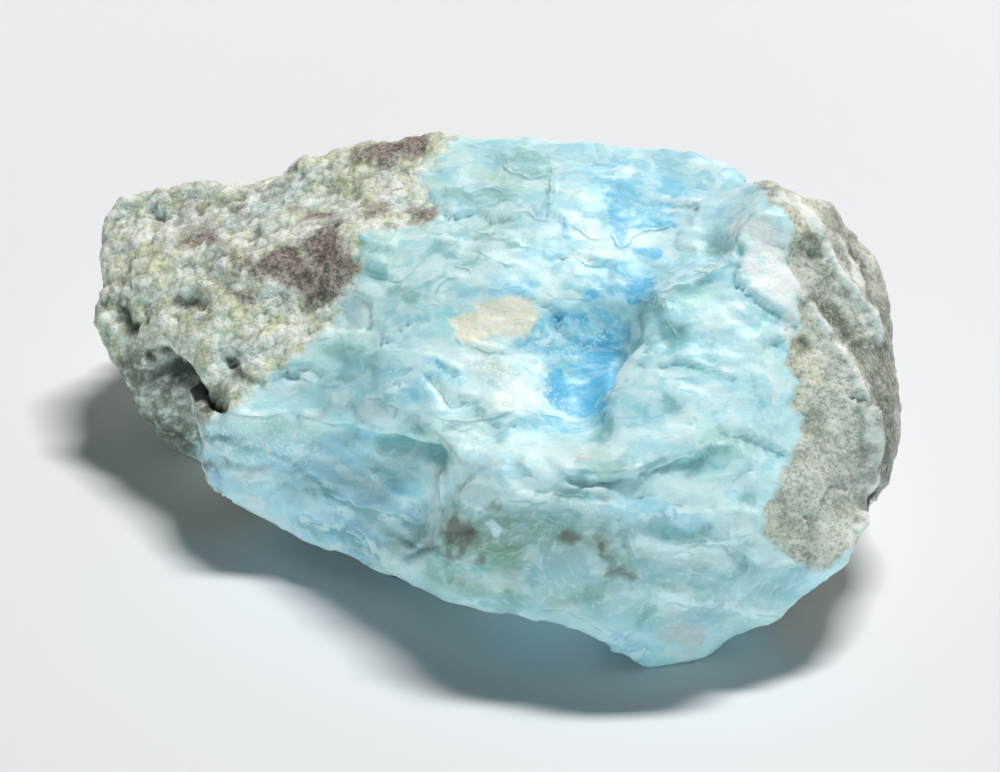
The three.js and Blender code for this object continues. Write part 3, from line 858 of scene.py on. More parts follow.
# Pectolite grows in sprays: the fibres run out from hearts under these points, in photo pixels
SPRAY_HEARTS = [(655, 285), (330, 330), (540, 170), (240, 420), (755, 435), (450, 560),
                (720, 640), (480, 420)]
SPRAY_DEPTH = 6                         # how far below the surface the hearts lie, in mm
HIDDEN_HEARTS = [(-10, 25, 12), (15, 20, 14), (20, 5, 2), (-25, 25, 8)]  # in mm
SPRAY_BEND = 3.0                        # mm by which the fibres are bent
SPRAY_FINENESS = 14                     # streaks for each radian around a heart
SPRAY_CHANGE = 0.12                     # how fast a streak changes on its way out, per mm
SPRAY_SPACING = 37.0                    # keeps the noise of one heart clear of the next
OUT_OF_SIGHT = 1e3                      # pixels added to what the photograph doesn't show


def spray_field(skin, view):
    """Noise coordinates that make streaks run out from the nearest heart."""
    hearts = []
    for heart in SPRAY_HEARTS:
        distance = np.linalg.norm(view.pixels - np.array(heart), axis=1)
        n = (distance + OUT_OF_SIGHT * (view.seen < 0.5)).argmin()
        hearts.append(skin.points[n] - SPRAY_DEPTH * skin.normals()[n])
    hearts += [np.array(heart, dtype=float) for heart in HIDDEN_HEARTS]
    bent = skin.points + SPRAY_BEND * wander(skin.points, size=9, seed=141)
    offsets = np.stack([bent - heart for heart in hearts])
    lengths = np.linalg.norm(offsets, axis=2)
    owner = lengths.argmin(axis=0)
    own_offset = offsets[owner, np.arange(len(bent))]
    own_length = lengths[owner, np.arange(len(bent))][:, None]
    streaks = SPRAY_FINENESS * own_offset / own_length + SPRAY_CHANGE * own_offset
    return streaks + SPRAY_SPACING * owner[:, None]


# ---- Colours ---------------------------------------------------------------------------------


def srgb(red, green, blue):
    """A colour as seen on a screen, 0 to 255, as Blender's linear RGBA."""
    def linear(value):
        value /= 255
        return value / 12.92 if value <= 0.04045 else ((value + 0.055) / 1.055) ** 2.4
    return (linear(red), linear(green), linear(blue), 1.0)


MILK = srgb(232, 250, 250)
GLACIER = srgb(206, 244, 246)
ICE = srgb(220, 250, 252)
SEA = srgb(164, 222, 226)
MIST = srgb(178, 220, 220)
WALL_SHADE = srgb(118, 168, 158)
BLUSH = srgb(216, 203, 198)
SKY = srgb(158, 220, 238)
DEEP = srgb(94, 189, 228)
TEAL = srgb(150, 208, 212)
STEEL = srgb(184, 230, 246)
DENIM = srgb(122, 184, 220)
SEAFOAM = srgb(132, 168, 170)
JADE = srgb(106, 146, 108)
MINT = srgb(202, 234, 214)
PEARL = srgb(226, 242, 238)
CHALK = srgb(255, 254, 250)
FROST = srgb(228, 250, 251)
VIVID = srgb(130, 211, 240)
SHADE_TEAL = srgb(128, 184, 182)
IVORY = srgb(222, 228, 216)
CREAM_TINT = srgb(238, 227, 188)
STAIN_TINT = srgb(106, 100, 82)
CRUST_WHITE = srgb(250, 251, 243)
CRUST_PALE = srgb(232, 234, 214)
CRUST_GREEN = srgb(214, 220, 182)
CRUST_GREY = srgb(148, 151, 130)
CRUST_YELLOW = srgb(236, 234, 184)
CRUST_SLATE = srgb(194, 220, 224)
CRUST_SHADE = srgb(86, 87, 76)
PIT_SHADE = srgb(62, 66, 56)
BROWN_DARK = srgb(90, 76, 69)
BROWN_MID = srgb(134, 119, 110)
BROWN_PALE = srgb(190, 182, 168)
BASALT_DARK = srgb(138, 140, 127)
BASALT_MID = srgb(202, 203, 190)
BASALT_PALE = srgb(226, 227, 215)
BASALT_BLACK = srgb(78, 84, 74)
BASALT_GREEN = srgb(102, 110, 93)
OLIVE = srgb(222, 221, 188)


def blend(value, stops):
    """Colours along a ramp whose stops are a position and a colour each."""
    positions = [position for position, _ in stops]
    channels = [np.interp(value, positions, [tint[k] for _, tint in stops]) for k in range(3)]
    return np.stack(channels, axis=1)


def lay(colour, share, tint):
    """tint laid over colour, by a share for each point."""
    return colour + share[:, None] * (np.asarray(tint)[..., :3] - colour)


# Each wash is a tint, its strength, its softness in mm, how it follows noise where the
# photograph doesn't reach (size, level and seed), and its strokes.

PECTOLITE_WASHES = [
    (MIST, 0.9, 2.5, (14, 0.20, 201), [
        (34, (420, 160), (520, 165)), (24, (400, 232), (450, 240)), (14, (478, 204), (540, 192)),
        (20, (360, 240), (372, 262)), (16, (560, 160), (700, 158)), (22, (225, 455), (300, 470)),
    ]),
    (SKY, 0.9, 3.0, (12, 0.12, 204), [
        (36, (600, 180), (700, 190)), (26, (610, 215), (650, 262)), (20, (560, 280), (640, 276)),
        (36, (575, 340), (590, 385)), (16, (490, 275), (540, 285)), (12, (520, 425), (570, 428)),
        (16, (410, 395), (440, 380)), (6, (660, 395), (654, 408)), (12, (600, 420), (620, 405)),
        (18, (440, 330), (430, 345)), (14, (530, 250), (580, 262)), (16, (690, 255), (700, 262)),
    ]),
    (ICE, 0.8, 2.0, (8, 0.22, 207), [
        (12, (456, 290), (480, 300)), (10, (500, 228), (560, 244)), (10, (560, 262), (600, 250)),
        (20, (420, 350), (470, 365)), (16, (350, 300), (372, 316)), (14, (650, 385), (690, 365)),
        (18, (694, 380), (712, 384)),
        (18, (700, 330), (740, 350)), (12, (640, 490), (720, 486)), (12, (640, 240), (690, 240)),
        (12, (700, 400), (740, 430)), (14, (640, 440), (700, 430)), (14, (480, 460), (530, 470)),
        (14, (690, 505), (740, 520)), (20, (250, 440), (300, 436)), (8, (556, 306), (622, 304)),
        (14, (410, 470), (428, 482)),
    ]),
    (STEEL, 0.95, 2.0, (11, 0.20, 210), [
        (34, (290, 480), (360, 505), (395, 500)), (22, (330, 450), (395, 465)),
        (14, (300, 530), (380, 552)), (12, (215, 480), (240, 500)), (14, (640, 512), (700, 520)),
        (14, (650, 640), (720, 612)), (12, (780, 590), (800, 582)),
    ]),
    (DENIM, 1.1, 1.4, (8, 0.30, 213), [
        (12, (304, 522), (350, 534), (372, 550)), (7, (316, 488), (350, 500), (400, 518)),
        (6, (355, 545), (368, 556)), (5, (330, 470), (345, 476)), (5, (610, 640), (640, 654)),
        (6, (656, 528), (696, 534)), (5, (700, 620), (716, 608)), (6, (206, 470), (216, 482)),
    ]),
    (SKY, 0.75, 2.0, (9, 0.30, 216), [
        (14, (345, 442), (385, 462)), (6, (270, 470), (300, 476)), (7, (395, 480), (410, 490)),
        (9, (380, 480), (400, 500)),
    ]),
    (SEAFOAM, 0.95, 3.0, (13, 0.10, 219), [
        (48, (545, 560), (640, 575), (720, 580)), (26, (480, 520), (560, 525)),
        (22, (740, 590), (780, 580)), (14, (470, 450), (480, 470)),
    ]),
    (JADE, 1.05, 2.4, (11, 0.30, 222), [
        (26, (465, 540), (500, 555)), (14, (440, 575), (510, 590)), (14, (500, 522), (560, 535)),
        (10, (592, 540), (615, 560)), (6, (690, 540), (700, 552)), (7, (560, 600), (600, 596)),
        (8, (600, 466), (618, 470)), (5, (710, 452), (726, 446)), (8, (380, 470), (400, 460)),
    ]),
    # Teal: partly the stone's own tone, partly painted shade under the crest, in the crack under
    # the green ledge and on the steep wall
    (TEAL, 0.75, 1.4, (7, 0.34, 225), [
        (14, (650, 304), (662, 332), (642, 345)), (6, (710, 244), (716, 250)),
        (10, (355, 252), (366, 268)), (5, (385, 272), (412, 262)), (9, (440, 210), (530, 212)),
        (18, (345, 350), (392, 372)), (12, (395, 300), (405, 318)), (6, (405, 450), (446, 455)),
        (6, (602, 428), (596, 440)), (5, (640, 480), (700, 462)), (8, (740, 565), (735, 585)),
        (8, (280, 470), (300, 500)), (8, (420, 478), (408, 470)), (6, (600, 610), (640, 620)),
    ]),
    # Dark teal in cracks and nicks, under the ledges and on the steep wall below the crest:
    # painted shade, with some of the steep wall's own greenish grey
    (WALL_SHADE, 0.80, 0.8, (6, 0.42, 258), [
        (5, (656, 300), (664, 325), (674, 338)), (4, (642, 318), (636, 342), (652, 350)),
        (3, (712, 246), (716, 242)), (3, (700, 270), (712, 264)), (3, (356, 262), (372, 270)),
        (4, (410, 452), (446, 457)), (3, (602, 428), (598, 436)), (3, (585, 479), (625, 479)),
        (3, (412, 526), (411, 534)), (3, (556, 495), (582, 497)), (3, (448, 425), (458, 428)),
    ]),
    (MINT, 0.75, 2.2, (10, 0.30, 228), [
        (9, (405, 432), (470, 437), (510, 442)), (12, (575, 455), (608, 462)),
        (9, (688, 290), (704, 298)), (8, (735, 450), (750, 440)), (14, (335, 340), (380, 325)),
        (10, (410, 540), (390, 560)), (12, (250, 420), (310, 425)), (12, (300, 362), (345, 325)),
        (10, (350, 285), (440, 205)), (10, (425, 185), (462, 140)), (8, (650, 600), (690, 598)),
        (12, (430, 315), (445, 335)), (8, (760, 345), (775, 375)), (7, (700, 640), (672, 655)),
        (10, (480, 178), (530, 192)), (8, (480, 230), (540, 242)), (10, (444, 300), (452, 284)),
        (10, (716, 470), (724, 440)), (5, (730, 618), (780, 616)),
    ]),
    (PEARL, 0.8, 1.4, (7, 0.34, 231), [
        (6, (447, 462), (440, 490), (425, 520), (405, 556)),
        (7, (640, 545), (700, 550), (780, 548)),
        (6, (500, 490), (548, 496)), (6, (590, 484), (632, 481)), (6, (655, 488), (712, 486)),
        (9, (730, 512), (770, 545)), (5, (662, 596), (740, 606), (790, 618)),
        (5, (605, 634), (560, 612)), (6, (350, 478), (368, 490)), (4, (222, 412), (262, 420)),
        (10, (362, 413), (392, 417)), (6, (450, 478), (520, 490)), (16, (486, 352), (512, 396)),
        (8, (536, 452), (544, 474)), (8, (384, 528), (404, 545)), (7, (448, 300), (442, 288)),
    ]),
    (BLUSH, 0.95, 0.8, (8, 0.46, 261), [
        (13, (676, 628), (692, 636)), (4, (404, 452), (412, 458)), (5, (572, 455), (584, 458)),
        (4, (252, 500), (262, 506)), (4, (596, 486), (606, 494)), (4, (240, 478), (262, 476)),
    ]),
    (IVORY, 1.1, 1.2, (7, 0.50, 264), [
        (17, (486, 352), (506, 376), (510, 396)), (8, (520, 352), (532, 364)),
    ]),
]

CRUST_WASHES = [
    (CRUST_YELLOW, 0.75, 2.0, (9, 0.16, 234), [
        (16, (130, 325), (220, 322), (320, 315)), (7, (300, 330), (320, 312)),
        (8, (195, 360), (215, 372)), (8, (150, 252), (170, 268)), (5, (186, 402), (200, 412)),
        (7, (440, 150), (425, 165)), (6, (330, 200), (350, 190)), (7, (250, 300), (262, 312)),
        (5, (213, 438), (215, 446)), (5, (236, 405), (243, 412)),
    ]),
    (CRUST_SLATE, 0.8, 1.5, (6, 0.30, 237), [
        (7, (245, 350), (252, 352)), (6, (275, 346), (280, 348)), (6, (214, 364), (220, 370)),
        (11, (155, 206), (172, 216)), (8, (225, 208), (240, 222)), (6, (190, 270), (196, 275)),
        (6, (178, 288), (184, 292)), (6, (268, 300), (285, 305)), (6, (305, 195), (330, 205)),
        (6, (262, 212), (280, 222)), (6, (145, 290), (150, 300)), (6, (230, 380), (246, 392)),
        (9, (180, 425), (186, 440)), (5, (160, 348), (168, 352)),
    ]),
    (CRUST_WHITE, 0.8, 1.4, (6, 0.34, 240), [
        (8, (168, 232), (178, 250)), (7, (135, 318), (152, 332)), (9, (255, 225), (270, 235)),
        (6, (290, 205), (300, 212)), (6, (330, 232), (352, 222)), (7, (350, 290), (340, 312)),
        (6, (240, 185), (262, 198)), (5, (205, 300), (222, 302)), (6, (400, 190), (384, 176)),
        (5, (250, 270), (262, 280)), (6, (180, 340), (190, 346)),
    ]),
    (CRUST_SHADE, 1.3, 2.0, (8, 0.30, 243), [
        (28, (134, 378), (152, 416)), (22, (165, 430), (186, 444)), (9, (176, 402), (196, 414)),
        (6, (188, 232), (212, 245)), (7, (186, 206), (206, 222)), (5, (178, 298), (198, 302)),
        (5, (120, 300), (128, 318)),
    ]),
]

RIND_WASHES = [
    (OLIVE, 0.8, 1.6, (9, 0.30, 246), [
        (9, (793, 208), (812, 214)), (10, (800, 350), (812, 374)), (7, (795, 392), (802, 402)),
        (9, (772, 522), (790, 542)), (5, (786, 284), (792, 292)), (4, (760, 208), (768, 206)),
        (7, (798, 232), (806, 252)), (6, (798, 322), (800, 336)),
    ]),
    (BASALT_PALE, 0.65, 2.0, (9, 0.30, 247), [
        (14, (822, 350), (838, 390), (830, 430)), (12, (818, 480), (826, 530)),
    ]),
    (BASALT_GREEN, 1.2, 1.2, (8, 0.15, 249), [
        (7, (812, 244), (826, 280)), (7, (806, 300), (826, 312), (850, 335)),
        (7, (838, 322), (856, 350), (868, 372)), (9, (868, 372), (876, 405), (878, 440)),
        (7, (846, 238), (856, 262), (868, 292)), (12, (872, 305), (882, 350), (888, 400)),
        (12, (882, 420), (880, 470)), (6, (830, 215), (846, 236)),
        (7, (874, 470), (874, 495)), (4, (814, 410), (820, 440)),
    ]),
    (BASALT_BLACK, 0.7, 0.8, (5, 0.40, 252), [
        (3, (812, 302), (832, 318)), (3, (842, 330), (860, 356)), (4, (870, 380), (876, 410)),
        (3, (848, 240), (858, 264)), (3, (804, 342), (806, 347)), (9, (884, 412), (882, 462)),
    ]),
    (BASALT_PALE, 0.7, 1.2, (7, 0.30, 255), [
        (7, (822, 345), (836, 372)), (6, (846, 410), (852, 440)),
        (7, (820, 515), (840, 535)), (5, (800, 470), (806, 490)), (5, (826, 262), (838, 284)),
    ]),
]


def paint(skin, view, colour, washes):
    """Lays each wash over the colour, with frayed and mottled borders."""
    frayed = 1.1 * clouds(along_fibres(skin.points), size=3.2, seed=171, octaves=4)
    mottled = 0.75 + 0.5 * clouds(along_fibres(skin.points), size=5, seed=175)
    for tint, strength, softness, (size, level, seed), strokes in washes:
        hidden = size * (clouds(skin.points, size, seed) - level)
        depth = view.around * view.strokes(strokes) + (1 - view.around) * hidden
        share = np.clip(strength * mottled, 0, 1) * smoothstep(depth + frayed, -softness, softness)
        colour = lay(colour, share, tint)
    return colour


def painted_fields(skin, view, fields):
    """The colours of bare pectolite, of the crust, of its brown patches and of the rind, and how
    brightly single grains of the crust stand out."""
    flake, cloud, patch = (fields[name] for name in ("flake", "cloud", "patch"))
    hollow, edge, mottle = (fields[name] for name in ("hollow", "edge", "mottle"))

    chip = flakes(skin.points, size=2.0, step=0, tilt=0, seed=61)[1]
    tone = 0.25 * flake + 0.30 * chip + 0.30 * cloud + 0.15 * patch
    pectolite = blend(tone, [(0.30, SEA), (0.44, GLACIER), (0.54, GLACIER), (0.68, MILK)])
    pectolite = paint(skin, view, pectolite, PECTOLITE_WASHES)
    pectolite = lay(pectolite, 0.40 * smoothstep(tone, 0.52, 0.68), MILK)
    pectolite = lay(pectolite, 0.25 * smoothstep(0.48 - tone, 0.0, 0.16), TEAL)
    # painted shade in hollows and a painted highlight on raised edges
    pectolite = lay(pectolite, 0.10 * hollow, TEAL)
    pectolite = lay(pectolite, 0.25 * edge, MILK)

    tone = 0.30 * mottle + 0.20 * fields["grain"] + 0.50 * patch
    crust = blend(tone, [(0.34, CRUST_GREY), (0.41, CRUST_GREEN), (0.48, CRUST_YELLOW),
                         (0.54, CRUST_PALE), (0.62, CRUST_WHITE)])
    bluish = smoothstep(clouds(skin.points, size=4.5, seed=185), 0.10, 0.30)
    crust = lay(crust, 0.65 * bluish, CRUST_SLATE)
    crust = paint(skin, view, crust, CRUST_WASHES)
    # painted shade in the creases between grains and in the pits of the crust
    crust = lay(crust, 0.50 * fields["crease"], CRUST_GREY)
    specks = smoothstep(clouds(skin.points, size=2.2, seed=181), 0.26, 0.40)
    crust = lay(crust, 0.6 * specks, CRUST_SHADE)
    # painted shade in hollows and a painted highlight on raised edges
    crust = lay(crust, 0.30 * hollow, PIT_SHADE)
    crust = lay(crust, 0.35 * edge, CRUST_WHITE)
    # single grains shine less in the shaded parts of the crust
    glint = 0.66 * smoothstep(crust.mean(axis=1), 0.08, 0.45)

    tone = 0.6 * mottle + 0.4 * patch
    brown = blend(tone, [(0.34, BROWN_DARK), (0.5, BROWN_MID), (0.68, BROWN_PALE)])

    tone = 0.45 * mottle + 0.55 * patch
    rind = blend(tone, [(0.32, BASALT_DARK), (0.50, BASALT_MID), (0.66, BASALT_PALE)])
    rind = paint(skin, view, rind, RIND_WASHES)
    # painted shade in hollows and a painted highlight on raised edges
    rind = lay(rind, 0.25 * hollow, BASALT_DARK)
    rind = lay(rind, 0.35 * edge, BASALT_PALE)
    return {"pectolite_tint": pectolite, "crust_tint": crust, "brown_tint": brown,
            "rind_tint": rind, "glint": glint}


def store_fields(mesh, fields):
    for name, values in fields.items():
        kind, key = ("FLOAT_VECTOR", "vector") if values.ndim == 2 else ("FLOAT", "value")
        attribute = mesh.attributes.new(name, kind, "POINT")
        attribute.data.foreach_set(key, values.astype(np.float32).ravel())


def pattern_fields(skin):
    """Places for the material's noise, bent so that it follows the stone, and slow noise."""
    points = skin.points
    fibres = along_fibres(points)
    upward = skin.normals()[:, 2]
    return {
        "fibres": fibres + 0.9 * wander(points, 4, 161) + 0.3 * wander(points, 1.4, 164),
        "lumps": points + 0.35 * wander(points, 1.5, 167),
        "flaky": 0.3 + 0.7 * smoothstep(upward, 0.30, 0.75),
        "cloud": 0.5 + 0.5 * clouds(fibres, size=7, seed=151, octaves=4),
        "patch": 0.5 + 0.5 * clouds(points, size=2.4, seed=155),
        "mottle": 0.5 + 0.5 * clouds(points, size=1.5, seed=159, octaves=2),
    }


def build_stone(node):
    piece = fine_skin(node)
    skin = Skin(piece.data)
    ease_facets(skin)
    view = View(skin)
    smooth_z = skin.points[:, 2].copy()
    carve(skin, view)
    zones = Zones(skin, view)
    fields = spread_relief(skin, view, zones)
    keep_resting_face(skin, smooth_z)
    fields.update(marking_fields(skin, view))
    fields.update(rim_fields(skin, view))
    fields.update(highlight_and_shade_fields(skin))
    fields["crust"] = as_mark(zones.crust_depth)
    fields["rind"] = as_mark(zones.rind_depth)
    fields["spray"] = spray_field(skin, view)
    fields.update(pattern_fields(skin))
    fields.update(painted_fields(skin, view, fields))
    skin.store()
    store_fields(piece.data, fields)
    piece.data.polygons.foreach_set("use_smooth", [True] * len(piece.data.polygons))
    return piece


# ---- Material --------------------------------------------------------------------------------


class Nodes:
    """Short names for making shader nodes and joining them up."""

    def __init__(self, tree):
        self.tree = tree

    def make(self, kind, settings=None, **inputs):
        node = self.tree.nodes.new(kind)
        for name, value in (settings or {}).items():
            setattr(node, name, value)
        for name, value in inputs.items():
            self.plug(node.inputs[name.replace("_", " ")], value)
        return node

    def plug(self, socket, value):
        if isinstance(value, bpy.types.NodeSocket):
            self.tree.links.new(value, socket)
        else:
            socket.default_value = value

    def field(self, name, output="Fac"):
        """What was stored on the mesh by this name: a number, or a Vector or a Color."""
        node = self.make("ShaderNodeAttribute", {"attribute_name": name})
        return node.outputs[output]

    def math(self, operation, first, second=0.0, third=0.0):
        node = self.make("ShaderNodeMath", {"operation": operation})
        for socket, value in zip(node.inputs, (first, second, third)):
            self.plug(socket, value)
        return node.outputs[0]

    def noise(self, place, scale, detail=3.0, roughness=0.55):
        node = self.make("ShaderNodeTexNoise", Vector=place, Scale=scale, Detail=detail,
                         Roughness=roughness)
        return node.outputs["Fac"]

    def grains(self, place, scale):
        """Small cells: a number of its own for each, and the distance to its middle."""
        node = self.make("ShaderNodeTexVoronoi", Vector=place, Scale=scale)
        split = self.make("ShaderNodeSeparateColor", Color=node.outputs["Color"])
        return split.outputs["Red"], node.outputs["Distance"]

    def span(self, value, start, end, low=0.0, high=1.0):
        """value from start..end mapped smoothly to low..high."""
        node = self.make("ShaderNodeMapRange", {"interpolation_type": "SMOOTHSTEP"})
        for socket, number in zip(node.inputs, (value, start, end, low, high)):
            self.plug(socket, number)
        return node.outputs["Result"]

    def mix(self, share, first, second):
        node = self.make("ShaderNodeMix", {"data_type": "RGBA", "clamp_factor": True})
        self.plug(node.inputs[0], share)
        self.plug(node.inputs[6], first)
        self.plug(node.inputs[7], second)
        return node.outputs[2]


# How fine the patterns are: the first two for each metre, the others for each millimetre
GRIT_SCALE = 1300
GRAIN_SCALE = 3800
PEBBLE_SCALE = 0.85
FLAKE_SCALE = 0.72
SPLINTER_SCALE = 1.9

# Heights of the bump, in millimetres
SMOOTH_GRIT = 0.06
COARSE_GRIT = 0.22                      # more than on smooth pectolite
CHIP_HEIGHT = 0.16
RIM_STEP = 0.10
DOME_HEIGHT = 0.24
DOME_MIDDLE = 0.11                      # keeps the domes level with what is round them
BUMP_STRENGTH = 0.8

# How soft and how ragged the border of each zone and marking is
BORDERS = {
    "crust": (0.10, 0.6), "rind": (0.06, 0.40), "vivid": (0.05, 0.6), "deep": (0.06, 0.5),
    "shade": (0.08, 0.5), "white": (0.05, 0.5), "peak": (0.14, 0.5), "sugar": (0.2, 0.5),
    "cream": (0.05, 0.4), "stain": (0.12, 0.7), "brown": (0.10, 0.55), "pit_shade": (0.10, 0.3),
    "arris": (0.08, 0.4),
}

PECTOLITE_ROUGHNESS = 0.46
STONY_ROUGHNESS = 0.85
SCATTER_WEIGHT = 0.25
SCATTER_RADII = (0.6, 1.0, 1.1)         # of red, green and blue, in millimetres


class StoneMaterial:
    """Pectolite, crust, rind and their markings in one material."""

    def __init__(self):
        self.material = bpy.data.materials.new("larimar")
        self.material.use_nodes = True
        n = self.nodes = Nodes(self.material.node_tree)
        self.shader = self.material.node_tree.nodes["Principled BSDF"]
        place = n.make("ShaderNodeTexCoord").outputs["Object"]
        self.grit = n.noise(place, GRIT_SCALE, detail=2, roughness=0.65)
        self.grain, _ = n.grains(place, GRAIN_SCALE)
        self.pebble, self.pebble_distance = n.grains(n.field("lumps", "Vector"), PEBBLE_SCALE)
        self.flake, _ = n.grains(n.field("fibres", "Vector"), FLAKE_SCALE)
        self.splinter, _ = n.grains(n.field("fibres", "Vector"), SPLINTER_SCALE)
        self.streaks = n.noise(n.field("spray", "Vector"), 1.0, detail=1, roughness=0.6)
        self.speckle = n.math("MULTIPLY_ADD", self.grit, 0.5, n.math("MULTIPLY", self.grain, 0.5))
        rough = n.math("MULTIPLY", self.grit, 0.3)
        self.fray = n.math("MULTIPLY_ADD", n.field("mottle"), 0.7, rough)
        chips = n.math("MULTIPLY_ADD", self.flake, 0.25, n.math("MULTIPLY", self.splinter, 0.15))
        self.chipped_fray = n.math("MULTIPLY_ADD", self.fray, 0.6, chips)
        self.crust_share = self.mark("crust")
        self.rind_share = self.mark("rind")

    def bordered(self, fray, name):
        """A marking that is 0 outside its border and 1 inside."""
        n = self.nodes
        softness, raggedness = BORDERS[name]
        value = n.math("MULTIPLY_ADD", fray, raggedness, n.field(name))
        level = 0.5 + 0.5 * raggedness
        return n.span(value, level - softness, level + softness)

    def mark(self, name):
        """A marking whose border is ragged with grains."""
        return self.bordered(self.fray, name)

    def chipped_mark(self, name):
        """A marking whose border follows the flakes."""
        return self.bordered(self.chipped_fray, name)

    def share(self, value, part):
        return self.nodes.math("MULTIPLY", value, part)

    def lay(self, colour, value, part, tint):
        """tint over colour where value is 1, and covering this part of it."""
        return self.nodes.mix(self.share(value, part), colour, tint)

    def grained(self, colour, light, dark, light_share, dark_share):
        """Single grains that are lighter or darker than what is round them."""
        n = self.nodes
        colour = self.lay(colour, n.span(self.speckle, 0.52, 0.68), light_share, light)
        return self.lay(colour, n.span(self.speckle, 0.46, 0.28), dark_share, dark)

    def pebbled(self, colour, light, dark, light_share, dark_share):
        """Lumps of grains, lighter and darker, with shade between them."""
        n = self.nodes
        colour = self.lay(colour, n.span(self.pebble, 0.60, 0.75), light_share, light)
        colour = self.lay(colour, n.span(self.pebble, 0.30, 0.15), dark_share, dark)
        return self.lay(colour, n.span(self.pebble_distance, 0.50, 0.75), dark_share, dark)

    def rim_line(self, *stops):
        """A thin line along the edges. It starts, is full, begins to fade and has gone at these
        distances to their left, in millimetres."""
        n = self.nodes
        start, full, fade, end = (0.5 + 0.5 * stop / RIM_RANGE for stop in stops)
        left = n.field("rim_left")
        line = n.math("MULTIPLY", n.span(left, start, full), n.span(left, end, fade))
        return n.math("MULTIPLY", line, n.field("rim_beside"))

    def pectolite(self):
        n = self.nodes
        flaky = n.field("flaky")
        colour = n.field("pectolite_tint", "Color")
        colour = self.lay(colour, self.chipped_mark("vivid"), 0.80, VIVID)
        pale = n.math("MULTIPLY", n.span(self.flake, 0.66, 0.72), flaky)
        colour = self.lay(colour, pale, 0.40, FROST)
        dim = n.math("MULTIPLY", n.span(self.flake, 0.30, 0.24), flaky)
        colour = self.lay(colour, dim, 0.35, SKY)
        pale = n.math("MULTIPLY", n.span(self.splinter, 0.78, 0.84), flaky)
        colour = self.lay(colour, pale, 0.35, FROST)
        colour = self.lay(colour, self.chipped_mark("deep"), 0.85, DEEP)
        colour = self.lay(colour, self.chipped_mark("shade"), 0.70, SHADE_TEAL)
        colour = self.lay(colour, n.span(self.streaks, 0.52, 0.72), 0.30, MILK)
        colour = self.lay(colour, n.span(self.streaks, 0.46, 0.28), 0.20, SKY)
        colour = self.lay(colour, self.chipped_mark("white"), 0.80, FROST)
        colour = self.lay(colour, self.mark("peak"), 0.90, CHALK)
        sugar = n.math("MULTIPLY", self.mark("sugar"), n.span(self.grain, 0.74, 0.80))
        colour = self.lay(colour, sugar, 0.55, CHALK)
        cream = n.mix(self.speckle, CREAM_TINT, CHALK)
        colour = n.mix(self.chipped_mark("cream"), colour, cream)
        colour = self.lay(colour, self.mark("stain"), 0.80, STAIN_TINT)
        # painted highlight along the higher side of each thin edge, painted shadow line along its
        # lower side
        colour = self.lay(colour, self.rim_line(0.0, 0.04, 0.10, 0.40), 0.50, FROST)
        return self.lay(colour, self.rim_line(-0.35, -0.12, -0.04, 0.0), 0.45, SHADE_TEAL)

    def crust(self):
        n = self.nodes
        brown = self.mark("brown")
        colour = n.field("crust_tint", "Color")
        colour = self.pebbled(colour, CRUST_WHITE, CRUST_GREY, n.field("glint"), 0.35)
        glint = self.share(n.field("glint"), 0.5)
        colour = self.grained(colour, CRUST_WHITE, CRUST_GREY, glint, 0.30)
        matrix = self.grained(n.field("brown_tint", "Color"), BROWN_PALE, BROWN_DARK, 0.50, 0.60)
        colour = n.mix(brown, colour, matrix)
        # painted shade in pits and cracks
        return n.mix(self.mark("pit_shade"), colour, PIT_SHADE)

    def rind(self):
        n = self.nodes
        colour = self.grained(n.field("rind_tint", "Color"), BASALT_PALE, BASALT_DARK, 0.35, 0.55)
        # painted highlight along the rind's sharp edges
        colour = self.lay(colour, self.mark("arris"), 0.85, CRUST_WHITE)
        # painted shade in pits and cracks
        return n.mix(self.mark("pit_shade"), colour, PIT_SHADE)

    def relief(self):
        """Fine relief in millimetres, below what the mesh holds."""
        n = self.nodes
        stony = n.span(n.math("MAXIMUM", n.field("crust"), n.field("rind")), 0.42, 0.58)
        coarse = n.math("MAXIMUM", stony, n.field("peak"))
        grit = n.math("SUBTRACT", self.grit, 0.5)
        height = n.math("MULTIPLY_ADD", coarse, COARSE_GRIT, SMOOTH_GRIT)
        grit = n.math("MULTIPLY", grit, height)
        chips = n.math("MULTIPLY", self.share(self.flake, CHIP_HEIGHT), n.field("flaky"))
        step = n.span(n.field("rim_left"), 0.46, 0.54, 0.0, RIM_STEP)
        step = n.math("MULTIPLY", step, n.field("rim_beside"))
        bare = n.math("SUBTRACT", 1.0, stony)
        form = n.math("MULTIPLY", n.math("ADD", chips, step), bare)
        domes = n.math("MULTIPLY_ADD", self.pebble_distance, -DOME_HEIGHT, DOME_MIDDLE)
        domes = n.math("MULTIPLY", domes, stony)
        form = n.math("ADD", form, domes)
        return n.math("ADD", grit, form)

    def finish(self):
        n = self.nodes
        stony = n.math("MAXIMUM", self.crust_share, self.rind_share)
        colour = n.mix(self.crust_share, self.pectolite(), self.crust())
        colour = n.mix(self.rind_share, colour, self.rind())
        n.plug(self.shader.inputs["Base Color"], colour)
        roughness = n.span(stony, 0, 1, PECTOLITE_ROUGHNESS, STONY_ROUGHNESS)
        n.plug(self.shader.inputs["Roughness"], roughness)
        self.shader.inputs["Subsurface Weight"].default_value = SCATTER_WEIGHT
        self.shader.inputs["Subsurface Radius"].default_value = SCATTER_RADII
        self.shader.inputs["Subsurface Scale"].default_value = MM
        bump = n.make("ShaderNodeBump", Height=self.relief(), Distance=MM, Strength=BUMP_STRENGTH)
        n.plug(self.shader.inputs["Normal"], bump.outputs["Normal"])
        return self.material


# ---- Studio ----------------------------------------------------------------------------------

